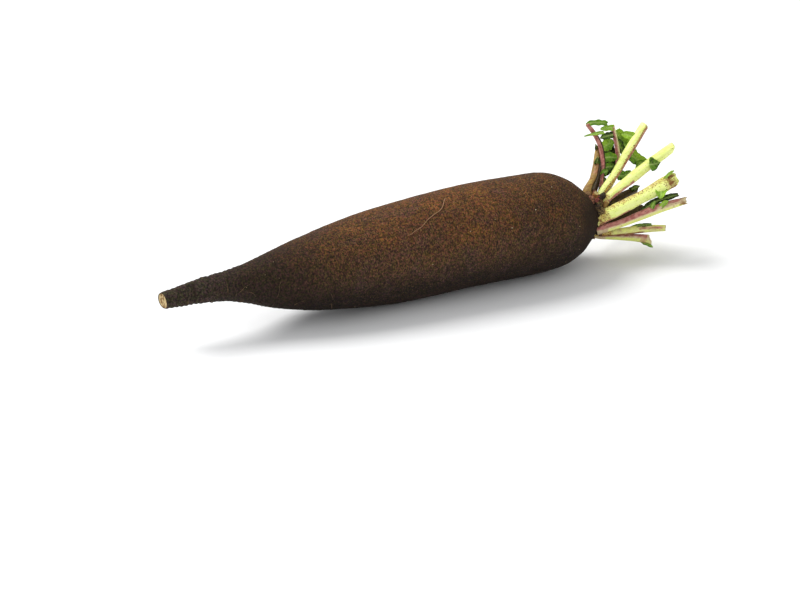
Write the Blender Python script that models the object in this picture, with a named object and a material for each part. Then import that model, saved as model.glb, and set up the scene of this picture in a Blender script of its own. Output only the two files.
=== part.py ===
"""A long black radish as picked, lying on its side, with its leaf stalks cut short.

The root is one solid: cut tail, wrinkled neck, barrel, shoulder and crown. Each leaf stalk is a
solid seated on the crown, and each scrap of leaf blade left on a stalk is a thin solid of its own.

Axes: +X runs from the tail to the crown and +Z is up. The origin is the middle of the small flat
on which the root rests. Lengths below are in millimetres, and MM turns them into metres. Places
of stalks and leaves are (out, side, up) from the middle of the crown.
"""

import math
from collections import namedtuple

import bmesh
import bpy
from mathutils import Vector

MM = 0.001
TOUCH_GAP = 0.3

# The root's outline, from the cut tail to the shoulder: distance, radius, rise of the centre line.
ROOT_OUTLINE = (
    (0, 3.8, 0.0),
    (15, 5.3, 1.0),
    (30, 6.8, 1.3),
    (42, 9.6, 0.8),
    (54, 13.6, 0.1),
    (70, 17.8, -0.3),
    (90, 21.1, -0.2),
    (115, 23.8, 0.7),
    (145, 25.5, 1.6),
    (175, 26.3, 2.1),
    (200, 25.7, 2.2),
    (212, 24.2, 1.8),
    (222, 20.3, 1.0),
    (228, 16.0, 0.5),
    (231.5, 13.0, 0.2),
)
# The short stem that the leaves grow from, ringed by old leaf scars: distance and radius.
CROWN_OUTLINE = (
    (232.5, 12.2),
    (233.3, 11.5),
    (234.8, 11.7),
    (236.0, 11.0),
    (237.4, 11.2),
    (238.6, 10.4),
    (240.0, 9.9),
    (241.2, 8.6),
    (242.2, 7.2),
    (243.0, 5.2),
    (243.6, 2.8),
)
CROWN_AT = 234.0
TAIL_X = -155.0
AXIS_HEIGHT = 23.2
ROOT_SIDES = 32
TAIL_SWAY = 1.2
TAIL_SWAY_LENGTH = 80.0
TAIL_CUT_SLOPE = 0.22
TAIL_CUT_REACH = 9.0
LUMP_HEIGHT = 0.35

# Wrinkles ring the neck, and die out where the barrel begins.
WRINKLE_PITCH = 2.4
WRINKLE_HEIGHT = 0.22
WRINKLE_END = 66.0
BARREL_STEP = 6.0
SHOULDER_FROM = 206.0
SHOULDER_STEP = 2.2

STALK_SIDES = 12
STALK_RINGS = 9
GROOVE = 0.28
BLADE_THICKNESS = 0.8
BLADE_COLUMNS = 4
BLADE_CUP = 0.3

# A stalk starts inside the crown. Its widths are spaced evenly from foot to tip. The cut leans
# towards the grooved face and across it by its two slopes.
Stalk = namedtuple("Stalk", "route widths flatness cut ragged colour")
SQUARE = (0.0, 0.0)
STALKS = {
    # A dried outer stub with a clasping foot, bent back over the shoulder.
    "stalk_01": Stalk(
        ((0.3, 1.0, 9.0), (1.7, 3.0, 12.9), (7.5, 6.9, 17.2), (12.0, 11.8, 22.1), (16.7, 18.3, 29.7)),
        (7.6, 5.2, 4.8, 4.2, 2.8), 0.8, (0.2, 0.0), 0.4, "dry"),
    # Two thin purple stalks that still carry most of the leaf.
    "stalk_02": Stalk(
        ((6.4, 2.4, 5.4), (10.2, 4.2, 11.2), (14.0, 8.0, 21.3), (15.4, 11.8, 27.6),
         (14.9, 14.3, 33.0), (12.7, 17.2, 38.5), (10.2, 19.8, 42.5)),
        (2.4, 2.4, 2.7, 3.0, 2.4), 0.9, SQUARE, 0.2, "purple"),
    "stalk_03": Stalk(
        ((6.6, 1.6, 1.6), (14.4, 4.8, 8.0), (22.6, 8.4, 17.0), (25.1, 11.6, 25.8), (25.3, 18.5, 40.0)),
        (2.6, 2.8, 2.9, 2.9, 2.6), 0.85, SQUARE, 0.2, "purple"),
    # The three thick pale stalks that face the viewer.
    "stalk_04": Stalk(
        ((4.4, -0.8, 7.8), (10.5, 0.9, 13.0), (17.3, 2.8, 18.0), (26.3, 5.7, 26.9), (39.7, 9.9, 40.0)),
        (3.8, 4.6, 5.3, 5.6, 5.3), 0.9, (-0.15, 0.0), 0.25, "pale"),
    "stalk_05": Stalk(
        ((5.2, -3.6, 5.4), (11.2, -3.4, 10.2), (20.5, -3.0, 15.2), (33.2, -2.0, 21.5), (49.6, -0.6, 28.8)),
        (4.4, 5.4, 6.4, 6.2, 5.8), 0.85, (-1.0, 0.0), 0.3, "pale"),
    "stalk_06": Stalk(
        ((-0.4, -8.6, 0.6), (2.6, -9.8, 2.2), (15.3, -11.6, 6.7), (34.5, -14.6, 14.9), (43.4, -15.4, 19.0)),
        (7.6, 7.2, 6.9, 6.7, 8.0, 7.4), 0.72, (0.1, -0.2), 0.8, "pale"),
    # Lower stalks, which pass close to the surface that the radish lies on.
    "stalk_07": Stalk(
        ((-0.6, -10.4, -4.6), (1.8, -11.6, -3.7), (11.2, -14.0, -1.5),
         (31.9, -19.2, 5.2), (46.2, -21.8, 7.9)),
        (4.6, 4.2, 4.8, 5.0, 3.6), 0.85, (-0.1, 0.0), 0.8, "purple"),
    "stalk_08": Stalk(
        ((-0.4, -7.4, -7.2), (5.1, -8.8, -7.8), (16.2, -11.6, -7.5),
         (26.8, -14.4, -7.2), (37.7, -16.9, -7.9)),
        (3.6, 4.0, 4.7, 4.4, 3.8), 0.8, SQUARE, 0.3, "purple"),
    "stalk_09": Stalk(
        ((-0.4, -3.6, -9.0), (4.8, -5.4, -10.8), (15.1, -9.0, -11.6),
         (25.2, -12.4, -12.8), (30.6, -14.5, -14.2)),
        (2.8, 3.0, 3.9, 4.8, 6.4), 0.85, (-0.2, 0.55), 0.4, "purple"),
    # Shorter stalks on the far side.
    "stalk_10": Stalk(
        ((5.4, 4.4, -1.4), (13.9, 5.6, 0.5), (24.3, 7.2, 2.3), (36.3, 9.2, 4.8)),
        (3.6, 5.2, 5.8, 4.4), 0.85, (0.1, 0.0), 0.4, "olive"),
    "stalk_11": Stalk(
        ((2.6, 1.4, -7.6), (13.0, 2.0, -7.9), (25.8, 3.4, -5.5), (38.4, 5.0, -4.3)),
        (3.4, 3.8, 4.0, 3.4), 0.85, (-0.2, 0.0), 0.4, "olive"),
    "stalk_12": Stalk(
        ((3.0, 5.6, 5.6), (9.3, 8.4, 9.0), (14.8, 13.0, 14.7), (19.0, 17.9, 20.4), (21.3, 21.2, 25.2)),
        (4.4, 3.6, 3.0, 2.6), 0.85, (0.3, 0.0), 0.4, "dry"),
    "stalk_13": Stalk(
        ((0.2, 9.4, -2.6), (6.0, 11.6, -3.4), (16.0, 16.0, -3.6), (27.0, 19.6, -2.2)),
        (5.0, 4.0, 3.8, 3.4), 0.85, (0.2, 0.0), 0.5, "pale"),
    # Stubs of leaves that broke off at the crown.
    "stub_01": Stalk(
        ((1.4, -2.4, 8.2), (1.6, -3.2, 10.8), (2.4, -4.0, 13.6)),
        (4.4, 3.8, 3.0), 0.8, (0.4, 0.0), 0.3, "dry"),
    "stub_02": Stalk(
        ((3.0, -4.8, 3.2), (5.4, -6.4, 6.2), (7.4, -7.1, 9.2)),
        (4.0, 3.4, 2.6), 0.75, (0.3, 0.0), 0.3, "dry"),
}

# A blade's ends say where on a swelling curve, 0 to 1, its width starts and stops.
Blade = namedtuple("Blade", "on route half_width rows lobes depth wave facing ends")
LEAFLET = (0.12, 1.0)
RIBBON = (0.2, 0.8)
FLAP = (0.45, 1.0)
TO_VIEWER = (-0.41, -0.81, 0.42)
UPWARDS = (-0.2, -0.45, 0.87)
FAR_SIDE = (-0.3, 0.5, 0.8)
BLADES = {
    "leaf_01a": Blade(
        "stalk_01", ((15.9, 17.3, 28.2), (14.4, 16.2, 29.9), (13.8, 16.1, 31.8)),
        1.1, 5, 1, 0.2, 0.2, TO_VIEWER, LEAFLET),
    "leaf_01b": Blade(
        "stalk_01", ((12.0, 11.4, 22.3), (11.0, 9.7, 25.0), (10.9, 9.2, 27.6)),
        1.7, 5, 1, 0.2, 0.2, TO_VIEWER, LEAFLET),
    # The ribbon that curls over from the tip of the thin stalk.
    "leaf_02a": Blade(
        "stalk_02",
        ((9.9, 19.6, 41.9), (11.6, 19.0, 43.0), (15.3, 18.3, 42.9), (19.6, 18.7, 42.0), (22.7, 19.6, 40.6)),
        1.7, 12, 3, 0.25, 0.2, TO_VIEWER, RIBBON),
    "leaf_02b": Blade(
        "stalk_02", ((17.6, 14.6, 38.2), (12.0, 14.9, 38.2), (6.2, 15.6, 37.8)),
        1.1, 7, 1, 0.1, 0.1, UPWARDS, (0.4, 1.0)),
    "leaf_02c": Blade(
        "stalk_02", ((15.6, 12.6, 30.0), (18.0, 13.4, 31.0), (21.0, 14.5, 31.7), (22.6, 15.6, 33.6)),
        3.4, 9, 3, 0.2, 0.35, TO_VIEWER, (0.2, 0.95)),
    "leaf_02d": Blade(
        "stalk_02", ((15.3, 10.6, 25.7), (18.8, 10.0, 25.9), (23.0, 9.2, 25.0)),
        2.8, 8, 3, 0.2, 0.35, TO_VIEWER, (0.25, 0.95)),
    "leaf_02e": Blade(
        "stalk_02", ((14.4, 8.8, 20.8), (17.6, 8.1, 21.4), (20.4, 7.9, 21.2)),
        2.5, 7, 2, 0.25, 0.35, TO_VIEWER, (0.25, 0.95)),
    "leaf_02f": Blade(
        "stalk_02", ((13.2, 7.2, 17.8), (12.8, 5.4, 20.0), (14.8, 4.8, 20.8)),
        1.9, 6, 2, 0.25, 0.25, TO_VIEWER, LEAFLET),
    "leaf_02g": Blade(
        "stalk_02", ((12.4, 5.6, 14.4), (13.7, 6.6, 15.2), (15.2, 7.6, 15.8)),
        1.6, 5, 1, 0.2, 0.2, TO_VIEWER, (0.25, 1.0)),
    # The one broad blade, which passes behind two of the thick stalks.
    "leaf_03a": Blade(
        "stalk_03",
        ((26.5, 17.4, 36.8), (28.9, 16.6, 33.2), (32.1, 15.0, 28.0), (34.2, 13.2, 24.0),
         (37.9, 11.2, 20.7), (42.8, 9.0, 19.1)),
        4.2, 15, 3, 0.16, 0.4, TO_VIEWER, (0.2, 0.94)),
    "leaf_03b": Blade(
        "stalk_03", ((24.0, 15.6, 35.7), (19.8, 15.2, 35.7), (15.8, 14.8, 35.5)),
        2.1, 8, 3, 0.2, 0.3, TO_VIEWER, (0.25, 0.95)),
    "leaf_03c": Blade(
        "stalk_03", ((25.2, 17.2, 38.9), (20.7, 16.6, 39.5), (16.7, 16.4, 39.8)),
        1.7, 8, 2, 0.2, 0.3, TO_VIEWER, (0.3, 0.9)),
    "leaf_03d": Blade(
        "stalk_03", ((26.0, 14.6, 32.6), (27.7, 13.3, 28.7), (29.5, 11.9, 24.6)),
        2.5, 8, 2, 0.2, 0.3, TO_VIEWER, (0.25, 0.97)),
    "leaf_04a": Blade(
        "stalk_04", ((18.9, 3.0, 18.4), (24.7, 4.6, 16.3), (29.7, 5.4, 17.7)),
        3.0, 9, 3, 0.25, 0.4, TO_VIEWER, (0.25, 1.0)),
    "leaf_04b": Blade(
        "stalk_04", ((32.3, 8.7, 34.9), (30.4, 10.6, 36.1), (27.6, 13.0, 36.3)),
        2.4, 8, 2, 0.15, 0.2, TO_VIEWER, (0.3, 0.97)),
    "leaf_05a": Blade(
        "stalk_05", ((33.7, -5.4, 24.3), (36.7, -5.4, 24.1), (41.0, -4.6, 24.0)),
        3.6, 7, 1, 0.0, 0.2, TO_VIEWER, FLAP),
    "leaf_05b": Blade(
        "stalk_05", ((35.0, -0.6, 22.2), (32.9, 2.2, 22.8), (31.5, 3.2, 19.6)),
        1.8, 7, 1, 0.15, 0.2, TO_VIEWER, (0.3, 0.9)),
    "leaf_06a": Blade(
        "stalk_06", ((34.6, -15.4, 14.6), (32.5, -18.4, 13.3), (31.0, -20.4, 11.2)),
        3.3, 7, 1, 0.15, 0.3, UPWARDS, (0.35, 0.95)),
    "leaf_06b": Blade(
        "stalk_06", ((36.5, -14.0, 17.2), (38.4, -15.6, 21.4), (42.2, -15.1, 22.8)),
        0.9, 7, 2, 0.2, 0.1, TO_VIEWER, (0.3, 0.9)),
    "leaf_07a": Blade(
        "stalk_07", ((27.1, -19.0, 5.8), (27.0, -20.0, 8.4), (28.0, -20.0, 10.2)),
        1.3, 6, 2, 0.2, 0.2, TO_VIEWER, LEAFLET),
    "leaf_07b": Blade(
        "stalk_07", ((31.3, -20.2, 5.6), (32.6, -21.2, 8.2), (35.6, -21.2, 9.2)),
        1.5, 6, 2, 0.2, 0.2, TO_VIEWER, LEAFLET),
    "leaf_07c": Blade(
        "stalk_07", ((23.0, -16.6, 4.2), (30.5, -16.8, 7.8), (37.3, -17.8, 9.4), (43.4, -19.0, 10.4)),
        2.1, 10, 2, 0.15, 0.3, UPWARDS, (0.28, 0.87)),
    "leaf_08a": Blade(
        "stalk_08", ((17.2, -12.2, -6.6), (22.8, -13.9, -5.0), (30.0, -15.7, -5.1)),
        1.1, 8, 2, 0.15, 0.2, UPWARDS, RIBBON),
    "leaf_09a": Blade(
        "stalk_09", ((25.8, -13.4, -15.0), (28.0, -15.6, -16.0), (30.6, -17.2, -17.3)),
        1.2, 6, 2, 0.2, 0.2, UPWARDS, LEAFLET),
    "leaf_10a": Blade(
        "stalk_10", ((31.6, 8.6, 5.0), (32.6, 6.0, 7.4), (35.4, 4.6, 8.6)),
        1.7, 7, 2, 0.25, 0.3, TO_VIEWER, LEAFLET),
    "leaf_10b": Blade(
        "stalk_10", ((19.0, 6.8, 2.6), (21.6, 11.4, 4.4), (25.4, 15.6, 4.2), (30.0, 18.0, 2.6)),
        2.4, 10, 4, 0.35, 0.4, FAR_SIDE, LEAFLET),
    "leaf_12a": Blade(
        "stalk_12",
        ((15.8, 13.9, 15.6), (21.4, 17.0, 15.9), (25.3, 19.5, 20.0), (25.6, 21.5, 26.1), (23.1, 22.5, 32.4)),
        4.5, 13, 4, 0.2, 0.4, TO_VIEWER, (0.04, 1.0)),
    "leaf_13a": Blade(
        "stalk_13", ((14.0, 15.2, -3.6), (18.0, 19.4, -1.6), (24.0, 22.6, -1.4), (30.0, 24.0, -2.8)),
        2.2, 10, 4, 0.35, 0.35, FAR_SIDE, LEAFLET),
}

Finish = namedtuple("Finish", "colour roughness")
FINISHES = {
    "skin": Finish((0.045, 0.026, 0.014), 0.85),
    "pale": Finish((0.62, 0.68, 0.20), 0.45),
    "purple": Finish((0.48, 0.28, 0.22), 0.5),
    "olive": Finish((0.12, 0.11, 0.04), 0.6),
    "dry": Finish((0.30, 0.18, 0.08), 0.8),
    "leaf": Finish((0.10, 0.26, 0.03), 0.55),
}


# Shared tools: curves, meshes and materials


def smooth_value(stations, at, column):
    """A column of the stations at a distance, along a curve with no corners."""
    last = len(stations) - 1
    i = 0
    while i < last - 1 and at > stations[i + 1][0]:
        i += 1

    def slope(k):
        before, after = stations[max(k - 1, 0)], stations[min(k + 1, last)]
        return (after[column] - before[column]) / (after[0] - before[0])

    start, end = stations[i], stations[i + 1]
    run = end[0] - start[0]
    t = (at - start[0]) / run
    return (
        (2 * t**3 - 3 * t**2 + 1) * start[column]
        + (t**3 - 2 * t**2 + t) * run * slope(i)
        + (3 * t**2 - 2 * t**3) * end[column]
        + (t**3 - t**2) * run * slope(i + 1)
    )


def curve_points(route, count):
    """Points evenly spaced in parameter along a smooth curve through the route."""
    points = [Vector(p) for p in route]
    lengths = [0.0]
    for a, b in zip(points, points[1:]):
        lengths.append(lengths[-1] + (b - a).length)
    stations = [(d, *p) for d, p in zip(lengths, points)]
    steps = [lengths[-1] * k / (count - 1) for k in range(count)]
    return [Vector([smooth_value(stations, s, c) for c in (1, 2, 3)]) for s in steps]


def tangents(points):
    last = len(points) - 1
    return [(points[min(k + 1, last)] - points[max(k - 1, 0)]).normalized() for k in range(last + 1)]


def material(name):
    finish = FINISHES[name]
    made = bpy.data.materials.get(name) or bpy.data.materials.new(name)
    made.use_nodes = True
    shader = made.node_tree.nodes["Principled BSDF"]
    shader.inputs["Base Color"].default_value = (*finish.colour, 1.0)
    shader.inputs["Roughness"].default_value = finish.roughness
    shader.inputs["Metallic"].default_value = 0.0
    return made


def add_object(name, points, faces, finish, flat=False):
    """A mesh object from points in millimetres, with faces turned outwards."""
    mesh = bpy.data.meshes.new(name)
    mesh.from_pydata([Vector(p) * MM for p in points], [], faces)
    shell = bmesh.new()
    shell.from_mesh(mesh)
    bmesh.ops.recalc_face_normals(shell, faces=shell.faces)
    shell.to_mesh(mesh)
    shell.free()
    mesh.materials.append(material(finish))
    if not flat:
        mesh.shade_smooth()
        mesh.set_sharp_from_angle(angle=math.radians(50))
    made = bpy.data.objects.new(name, mesh)
    bpy.context.scene.collection.objects.link(made)
    return made


def tube_faces(rings, sides):
    """Faces of a tube of rings, closed by a flat cap at each end."""
    faces = []
    for r in range(rings - 1):
        for k in range(sides):
            a, b = r * sides + k, r * sides + (k + 1) % sides
            faces.append((a, b, b + sides, a + sides))
    faces.append(tuple(range(sides)))
    faces.append(tuple((rings - 1) * sides + k for k in range(sides)))
    return faces


def hide_cutter(cutter):
    cutter.hide_render = True
    cutter.display_type = "WIRE"


def trim(piece, cutter):
    cut = piece.modifiers.new("trim to " + cutter.name, "BOOLEAN")
    cut.operation = "DIFFERENCE"
    cut.solver = "EXACT"
    cut.object = cutter


# The root: cut tail, wrinkled neck, barrel, shoulder and crown in one skin


def lump(distance, angle):
    """Slow unevenness of the skin, none at the crown's rim."""
    waves = (
        math.sin(distance / 17 + 2 * angle)
        + 0.7 * math.sin(distance / 11 - 3 * angle + 1.0)
        + 0.5 * math.sin(distance / 29 + angle + 2.0)
    )
    fade = min(1.0, (CROWN_AT - distance) / 20, 0.3 + distance / 40)
    return LUMP_HEIGHT * waves * max(fade, 0.0)


def wrinkle(distance, angle):
    """Rings of the neck, each of its own height and standing out over part of its turn."""
    if distance > WRINKLE_END:
        return 0.0
    number = round(distance / (WRINKLE_PITCH / 2))
    side = 1.0 if number % 2 else -1.0
    reach = 0.5 + 0.3 * math.sin(2.3 * number) + 0.4 * math.sin(angle * (1 + number % 3) + 1.9 * number)
    return side * WRINKLE_HEIGHT * reach * (1 - distance / WRINKLE_END) ** 0.5


def root_stations():
    """Distances of the rings: close on the neck and the shoulder, wide on the barrel."""
    found = [k * WRINKLE_PITCH / 2 for k in range(round(WRINKLE_END * 2 / WRINKLE_PITCH) + 1)]
    barrel = round((SHOULDER_FROM - found[-1]) / BARREL_STEP)
    start = found[-1]
    found += [start + (SHOULDER_FROM - start) * k / barrel for k in range(1, barrel + 1)]
    rim = ROOT_OUTLINE[-1][0]
    shoulder = round((rim - SHOULDER_FROM) / SHOULDER_STEP)
    found += [SHOULDER_FROM + (rim - SHOULDER_FROM) * k / shoulder for k in range(1, shoulder + 1)]
    return found


def root_ring(distance, radius, rise, grow):
    sway = TAIL_SWAY * max(0.0, 1 - distance / TAIL_SWAY_LENGTH) ** 2
    cut = TAIL_CUT_SLOPE * max(0.0, 1 - distance / TAIL_CUT_REACH)
    ring = []
    for k in range(ROOT_SIDES):
        angle = math.tau * k / ROOT_SIDES
        reach = radius + grow + lump(distance, angle) + wrinkle(distance, angle)
        side, up = reach * math.sin(angle), reach * math.cos(angle)
        ring.append((TAIL_X + distance - cut * side, side + sway, AXIS_HEIGHT + rise + up))
    return ring


def root_points(first=0.0, grow=0.0):
    """Rings from a distance to the crown, and the outline grown outwards for a cutter."""
    points = []
    for distance in root_stations():
        if distance >= first:
            radius = smooth_value(ROOT_OUTLINE, distance, 1)
            points += root_ring(distance, radius, smooth_value(ROOT_OUTLINE, distance, 2), grow)
    for distance, radius in CROWN_OUTLINE:
        points += root_ring(distance + grow, radius, 0.0, grow * min(1.0, radius / 8))
    return points


def make_root():
    points = root_points()
    root = add_object("root", points, tube_faces(len(points) // ROOT_SIDES, ROOT_SIDES), "skin")
    shell = bmesh.new()
    shell.from_mesh(root.data)
    bmesh.ops.bisect_plane(
        shell,
        geom=shell.verts[:] + shell.edges[:] + shell.faces[:],
        dist=1e-7,
        plane_co=(0, 0, 0),
        plane_no=(0, 0, -1),
        clear_outer=True,
    )
    bmesh.ops.holes_fill(shell, edges=[e for e in shell.edges if e.is_boundary])
    bmesh.ops.recalc_face_normals(shell, faces=shell.faces)
    shell.to_mesh(root.data)
    shell.free()
    root.data.set_sharp_from_angle(angle=math.radians(50))
    return root


def make_crown_cutter():
    points = root_points(first=SHOULDER_FROM - 20, grow=TOUCH_GAP)
    cutter = add_object("crown cutter", points, tube_faces(len(points) // ROOT_SIDES, ROOT_SIDES), "skin")
    hide_cutter(cutter)
    return cutter


# Leaf stalks: thick, grooved on the inner side and broad at the foot


def from_crown(point):
    return Vector((TAIL_X + CROWN_AT, 0, AXIS_HEIGHT)) + Vector(point)


def stalk_widths(stalk):
    last = len(stalk.widths) - 1
    stations = [(k / last, width) for k, width in enumerate(stalk.widths)]
    return [smooth_value(stations, r / (STALK_RINGS - 1), 1) for r in range(STALK_RINGS)]


def stalk_points(stalk, grow=0.0):
    """Half-round rings along the route, each turned so that its groove faces the other stalks."""
    centres = curve_points([from_crown(p) for p in stalk.route], STALK_RINGS)
    tip = stalk.route[-1]
    across = Vector((1, 0, 0)).cross(Vector((0, tip[1], tip[2]))).normalized()
    points = []
    for r, (centre, ahead, width) in enumerate(zip(centres, tangents(centres), stalk_widths(stalk))):
        side = (across - across.dot(ahead) * ahead).normalized()
        inner = ahead.cross(side)
        for k in range(STALK_SIDES):
            angle = math.tau * k / STALK_SIDES
            x, y = math.cos(angle), math.sin(angle)
            if y > 0:
                y *= 1 - GROOVE * (1 - x * x)
            reach_x, reach_y = width / 2 + grow, width / 2 * stalk.flatness + grow
            offset = side * x * reach_x + inner * y * reach_y
            if r == STALK_RINGS - 1:
                rough = math.sin(2 * angle + 9 * width) + 0.6 * math.sin(5 * angle + 4 * width)
                slope = stalk.cut[0] * y * reach_y + stalk.cut[1] * x * reach_x
                offset += ahead * (slope + stalk.ragged * rough / 1.6 + 2 * grow)
            points.append(centre + offset)
    return points


def make_stalk(name, stalk, crown_cutter):
    faces = tube_faces(STALK_RINGS, STALK_SIDES)
    made = add_object(name, stalk_points(stalk), faces, stalk.colour)
    trim(made, crown_cutter)
    cutter = add_object(name + " cutter", stalk_points(stalk, TOUCH_GAP), faces, stalk.colour)
    hide_cutter(cutter)
    return made, cutter


# Leaf blades: thin, lobed and waved


def blade_width(blade, t):
    """Half-width along a blade, swelling between its ends and cut into lobes."""
    foot, tip = blade.ends
    swell = max(0.0, math.sin(math.pi * (foot + (tip - foot) * t))) ** 0.6
    lobes = 1 - blade.depth * (0.5 + 0.5 * math.cos(math.tau * blade.lobes * t + 0.6))
    return max(0.35, blade.half_width * swell * lobes)


def blade_points(blade):
    """The upper face's points row by row, then the lower face's in the same order."""
    centres = curve_points([from_crown(p) for p in blade.route], blade.rows)
    along = tangents(centres)
    facing = Vector(blade.facing)
    upper, lower = [], []
    for r, (centre, ahead) in enumerate(zip(centres, along)):
        t = r / (blade.rows - 1)
        normal = (facing - facing.dot(ahead) * ahead).normalized()
        side = ahead.cross(normal)
        width = blade_width(blade, t)
        for c in range(BLADE_COLUMNS + 1):
            v = 2 * c / BLADE_COLUMNS - 1
            lift = BLADE_CUP * width * v * v
            lift += blade.wave * abs(v) * math.sin(math.tau * blade.lobes * t + (1.3 if v > 0 else 3.0))
            middle = centre + side * v * width + normal * lift
            upper.append(middle + normal * BLADE_THICKNESS / 2)
            lower.append(middle - normal * BLADE_THICKNESS / 2)
    return upper + lower


def blade_faces(rows):
    """Both faces split into the same triangles, and the rim between them."""
    width = BLADE_COLUMNS + 1
    below = rows * width
    faces = []
    for r in range(rows - 1):
        for c in range(BLADE_COLUMNS):
            a, b = r * width + c, r * width + c + 1
            for triangle in ((a, b, b + width), (a, b + width, a + width)):
                faces.append(triangle)
                faces.append(tuple(below + k for k in reversed(triangle)))
    rim = [c for c in range(width)]
    rim += [r * width + BLADE_COLUMNS for r in range(1, rows)]
    rim += [(rows - 1) * width + c for c in range(BLADE_COLUMNS - 1, -1, -1)]
    rim += [r * width for r in range(rows - 2, 0, -1)]
    for a, b in zip(rim, rim[1:] + rim[:1]):
        faces.append((a, a + below, b + below))
        faces.append((a, b + below, b))
    return faces


def make_blade(name, blade, stalk_cutter):
    made = add_object(name, blade_points(blade), blade_faces(blade.rows), "leaf")
    trim(made, stalk_cutter)
    return made


def main():
    for old in list(bpy.data.objects):
        bpy.data.objects.remove(old)
    make_root()
    crown_cutter = make_crown_cutter()
    cutters = {}
    for name, stalk in STALKS.items():
        _, cutters[name] = make_stalk(name, stalk, crown_cutter)
    for name, blade in BLADES.items():
        make_blade(name, blade, cutters[blade.on])


main()
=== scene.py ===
import math
import random
from collections import namedtuple

import bmesh
import bpy
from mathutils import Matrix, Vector, noise


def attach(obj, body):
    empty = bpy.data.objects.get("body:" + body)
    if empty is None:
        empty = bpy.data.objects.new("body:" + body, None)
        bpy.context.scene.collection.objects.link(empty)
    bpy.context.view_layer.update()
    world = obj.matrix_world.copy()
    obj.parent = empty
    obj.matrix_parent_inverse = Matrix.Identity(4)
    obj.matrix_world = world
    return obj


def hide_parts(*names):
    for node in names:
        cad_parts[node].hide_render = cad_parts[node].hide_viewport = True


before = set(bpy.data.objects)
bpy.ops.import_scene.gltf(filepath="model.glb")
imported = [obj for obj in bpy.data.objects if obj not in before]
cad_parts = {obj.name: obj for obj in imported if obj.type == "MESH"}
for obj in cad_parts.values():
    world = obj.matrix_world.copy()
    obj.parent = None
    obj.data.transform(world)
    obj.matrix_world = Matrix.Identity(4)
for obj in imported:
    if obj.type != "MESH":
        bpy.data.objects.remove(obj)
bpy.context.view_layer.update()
MM = 0.001


# The camera
# It looks from the tail's side, 25 degrees above the table, with a long lens.
CAMERA_AT = (-0.39858, -0.72105, 0.37525)
CAMERA_TURN = -27.031
CAMERA_ABOVE = 25.0
LENS = 80.0
SENSOR = 36.0


def in_scene(name, data):
    made = bpy.data.objects.new(name, data)
    bpy.context.scene.collection.objects.link(made)
    return made


camera = in_scene("camera", bpy.data.cameras.new("camera"))
camera.data.lens = LENS
camera.data.sensor_width = SENSOR
camera.location = CAMERA_AT
camera.rotation_euler = (math.radians(90 - CAMERA_ABOVE), 0, math.radians(CAMERA_TURN))
bpy.context.scene.camera = camera


# The root
# One swollen root in a dull, nearly black skin: cut tail, folded neck, barrel, shoulder, and the
# short ringed stem that the leaves grow from. It is grown as one, and its tail is cut with a knife.

# Distance from the tail's cut, radius, rise of the centre line, in millimetres as all sizes here.
ROOT_OUTLINE = (
    (0, 3.8, 0), (15, 5.3, 1), (30, 6.8, 1.3), (42, 9.6, 0.8), (54, 13.6, 0.1), (70, 17.8, -0.3),
    (90, 21.1, -0.2), (115, 23.8, 0.7), (145, 25.5, 1.6), (175, 26.3, 2.1), (200, 25.7, 2.2),
    (212, 24.2, 1.8), (222, 20.3, 1), (228, 16, 0.5), (231.5, 13, 0.2),
)
STEM_OUTLINE = (
    (231.5, 13), (232.5, 12.2), (233.3, 11.5), (234.8, 11.7), (236, 11), (237.4, 11.2), (238.6, 10.4),
    (240, 9.9), (241.2, 8.6), (242.2, 7.2), (243, 5.2), (243.6, 2.8), (243.9, 1.4), (244, 0.2),
)
TAIL_FACE = ((0.03, 0.35), (0.25, 0.3), (0.45, 0.42), (0.62, 0.3), (0.78, 0.42), (0.88, 0.3), (0.95, 0.1))
CROWN_AT = 234.0
TAIL_X = -155.0
AXIS_HEIGHT = 23.2
ROOT_SIDES = 240
TAIL_SWAY = 1.2
TAIL_SWAY_LENGTH = 80.0
TAIL_CUT_SLOPE = 0.22
TAIL_CUT_REACH = 9.0
LUMP_HEIGHT = 0.35
FOLD_PITCH = 2.4
FOLD_HEIGHT = 0.22
FOLDS_END = 66.0
DENT_HEIGHT, DENT_WIDTH = 0.2, 10
RIPPLE_HEIGHT, RIPPLE_WIDTH = 0.07, 3.2
PIT_DEPTH, PIT_WIDTH, PIT_SHARE = 0.3, 2.3, 0.3
CREASE_HEIGHT, CREASE_SIZES = 0.05, (1.1, 7, 7)
NECK_CREASE_HEIGHT, NECK_CREASES_END = 0.15, 100
STEM_RIDGE_HEIGHT, STEM_RIDGE_SIZES = 0.35, (0.9, 4, 4)
STEM_LUMPS = ((0.55, 2.4), (0.2, 1.1))
STEM_COLOUR_FROM, STEM_COLOUR_FADE = 229.5, 3
FLESH_EDGE, FLESH_FADE = 0.97, 0.1

# Where the spacing of the rings along the root changes, and the spacing from there on.
RING_STEPS = ((0, 0.6), (66, 0.9), (206, 0.7), (231.5, 0.3), (244, 0))

# Healed cracks across the skin: distance from the tail, clock angle, length and depth.
CRACKS = (
    (54, -34, 8, 0.35), (57, -22, 5, 0.3), (93, -31, 6, 0.3), (129, -70, 7, 0.3), (138, -99, 8, 0.3),
    (201, -30, 6, 0.25), (76, 60, 9, 0.35), (118, 105, 7, 0.3), (163, 40, 8, 0.3), (186, 140, 9, 0.35),
    (98, 170, 8, 0.3), (44, 120, 6, 0.3),
)
CRACK_HALF_WIDTH = 1.1


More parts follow.
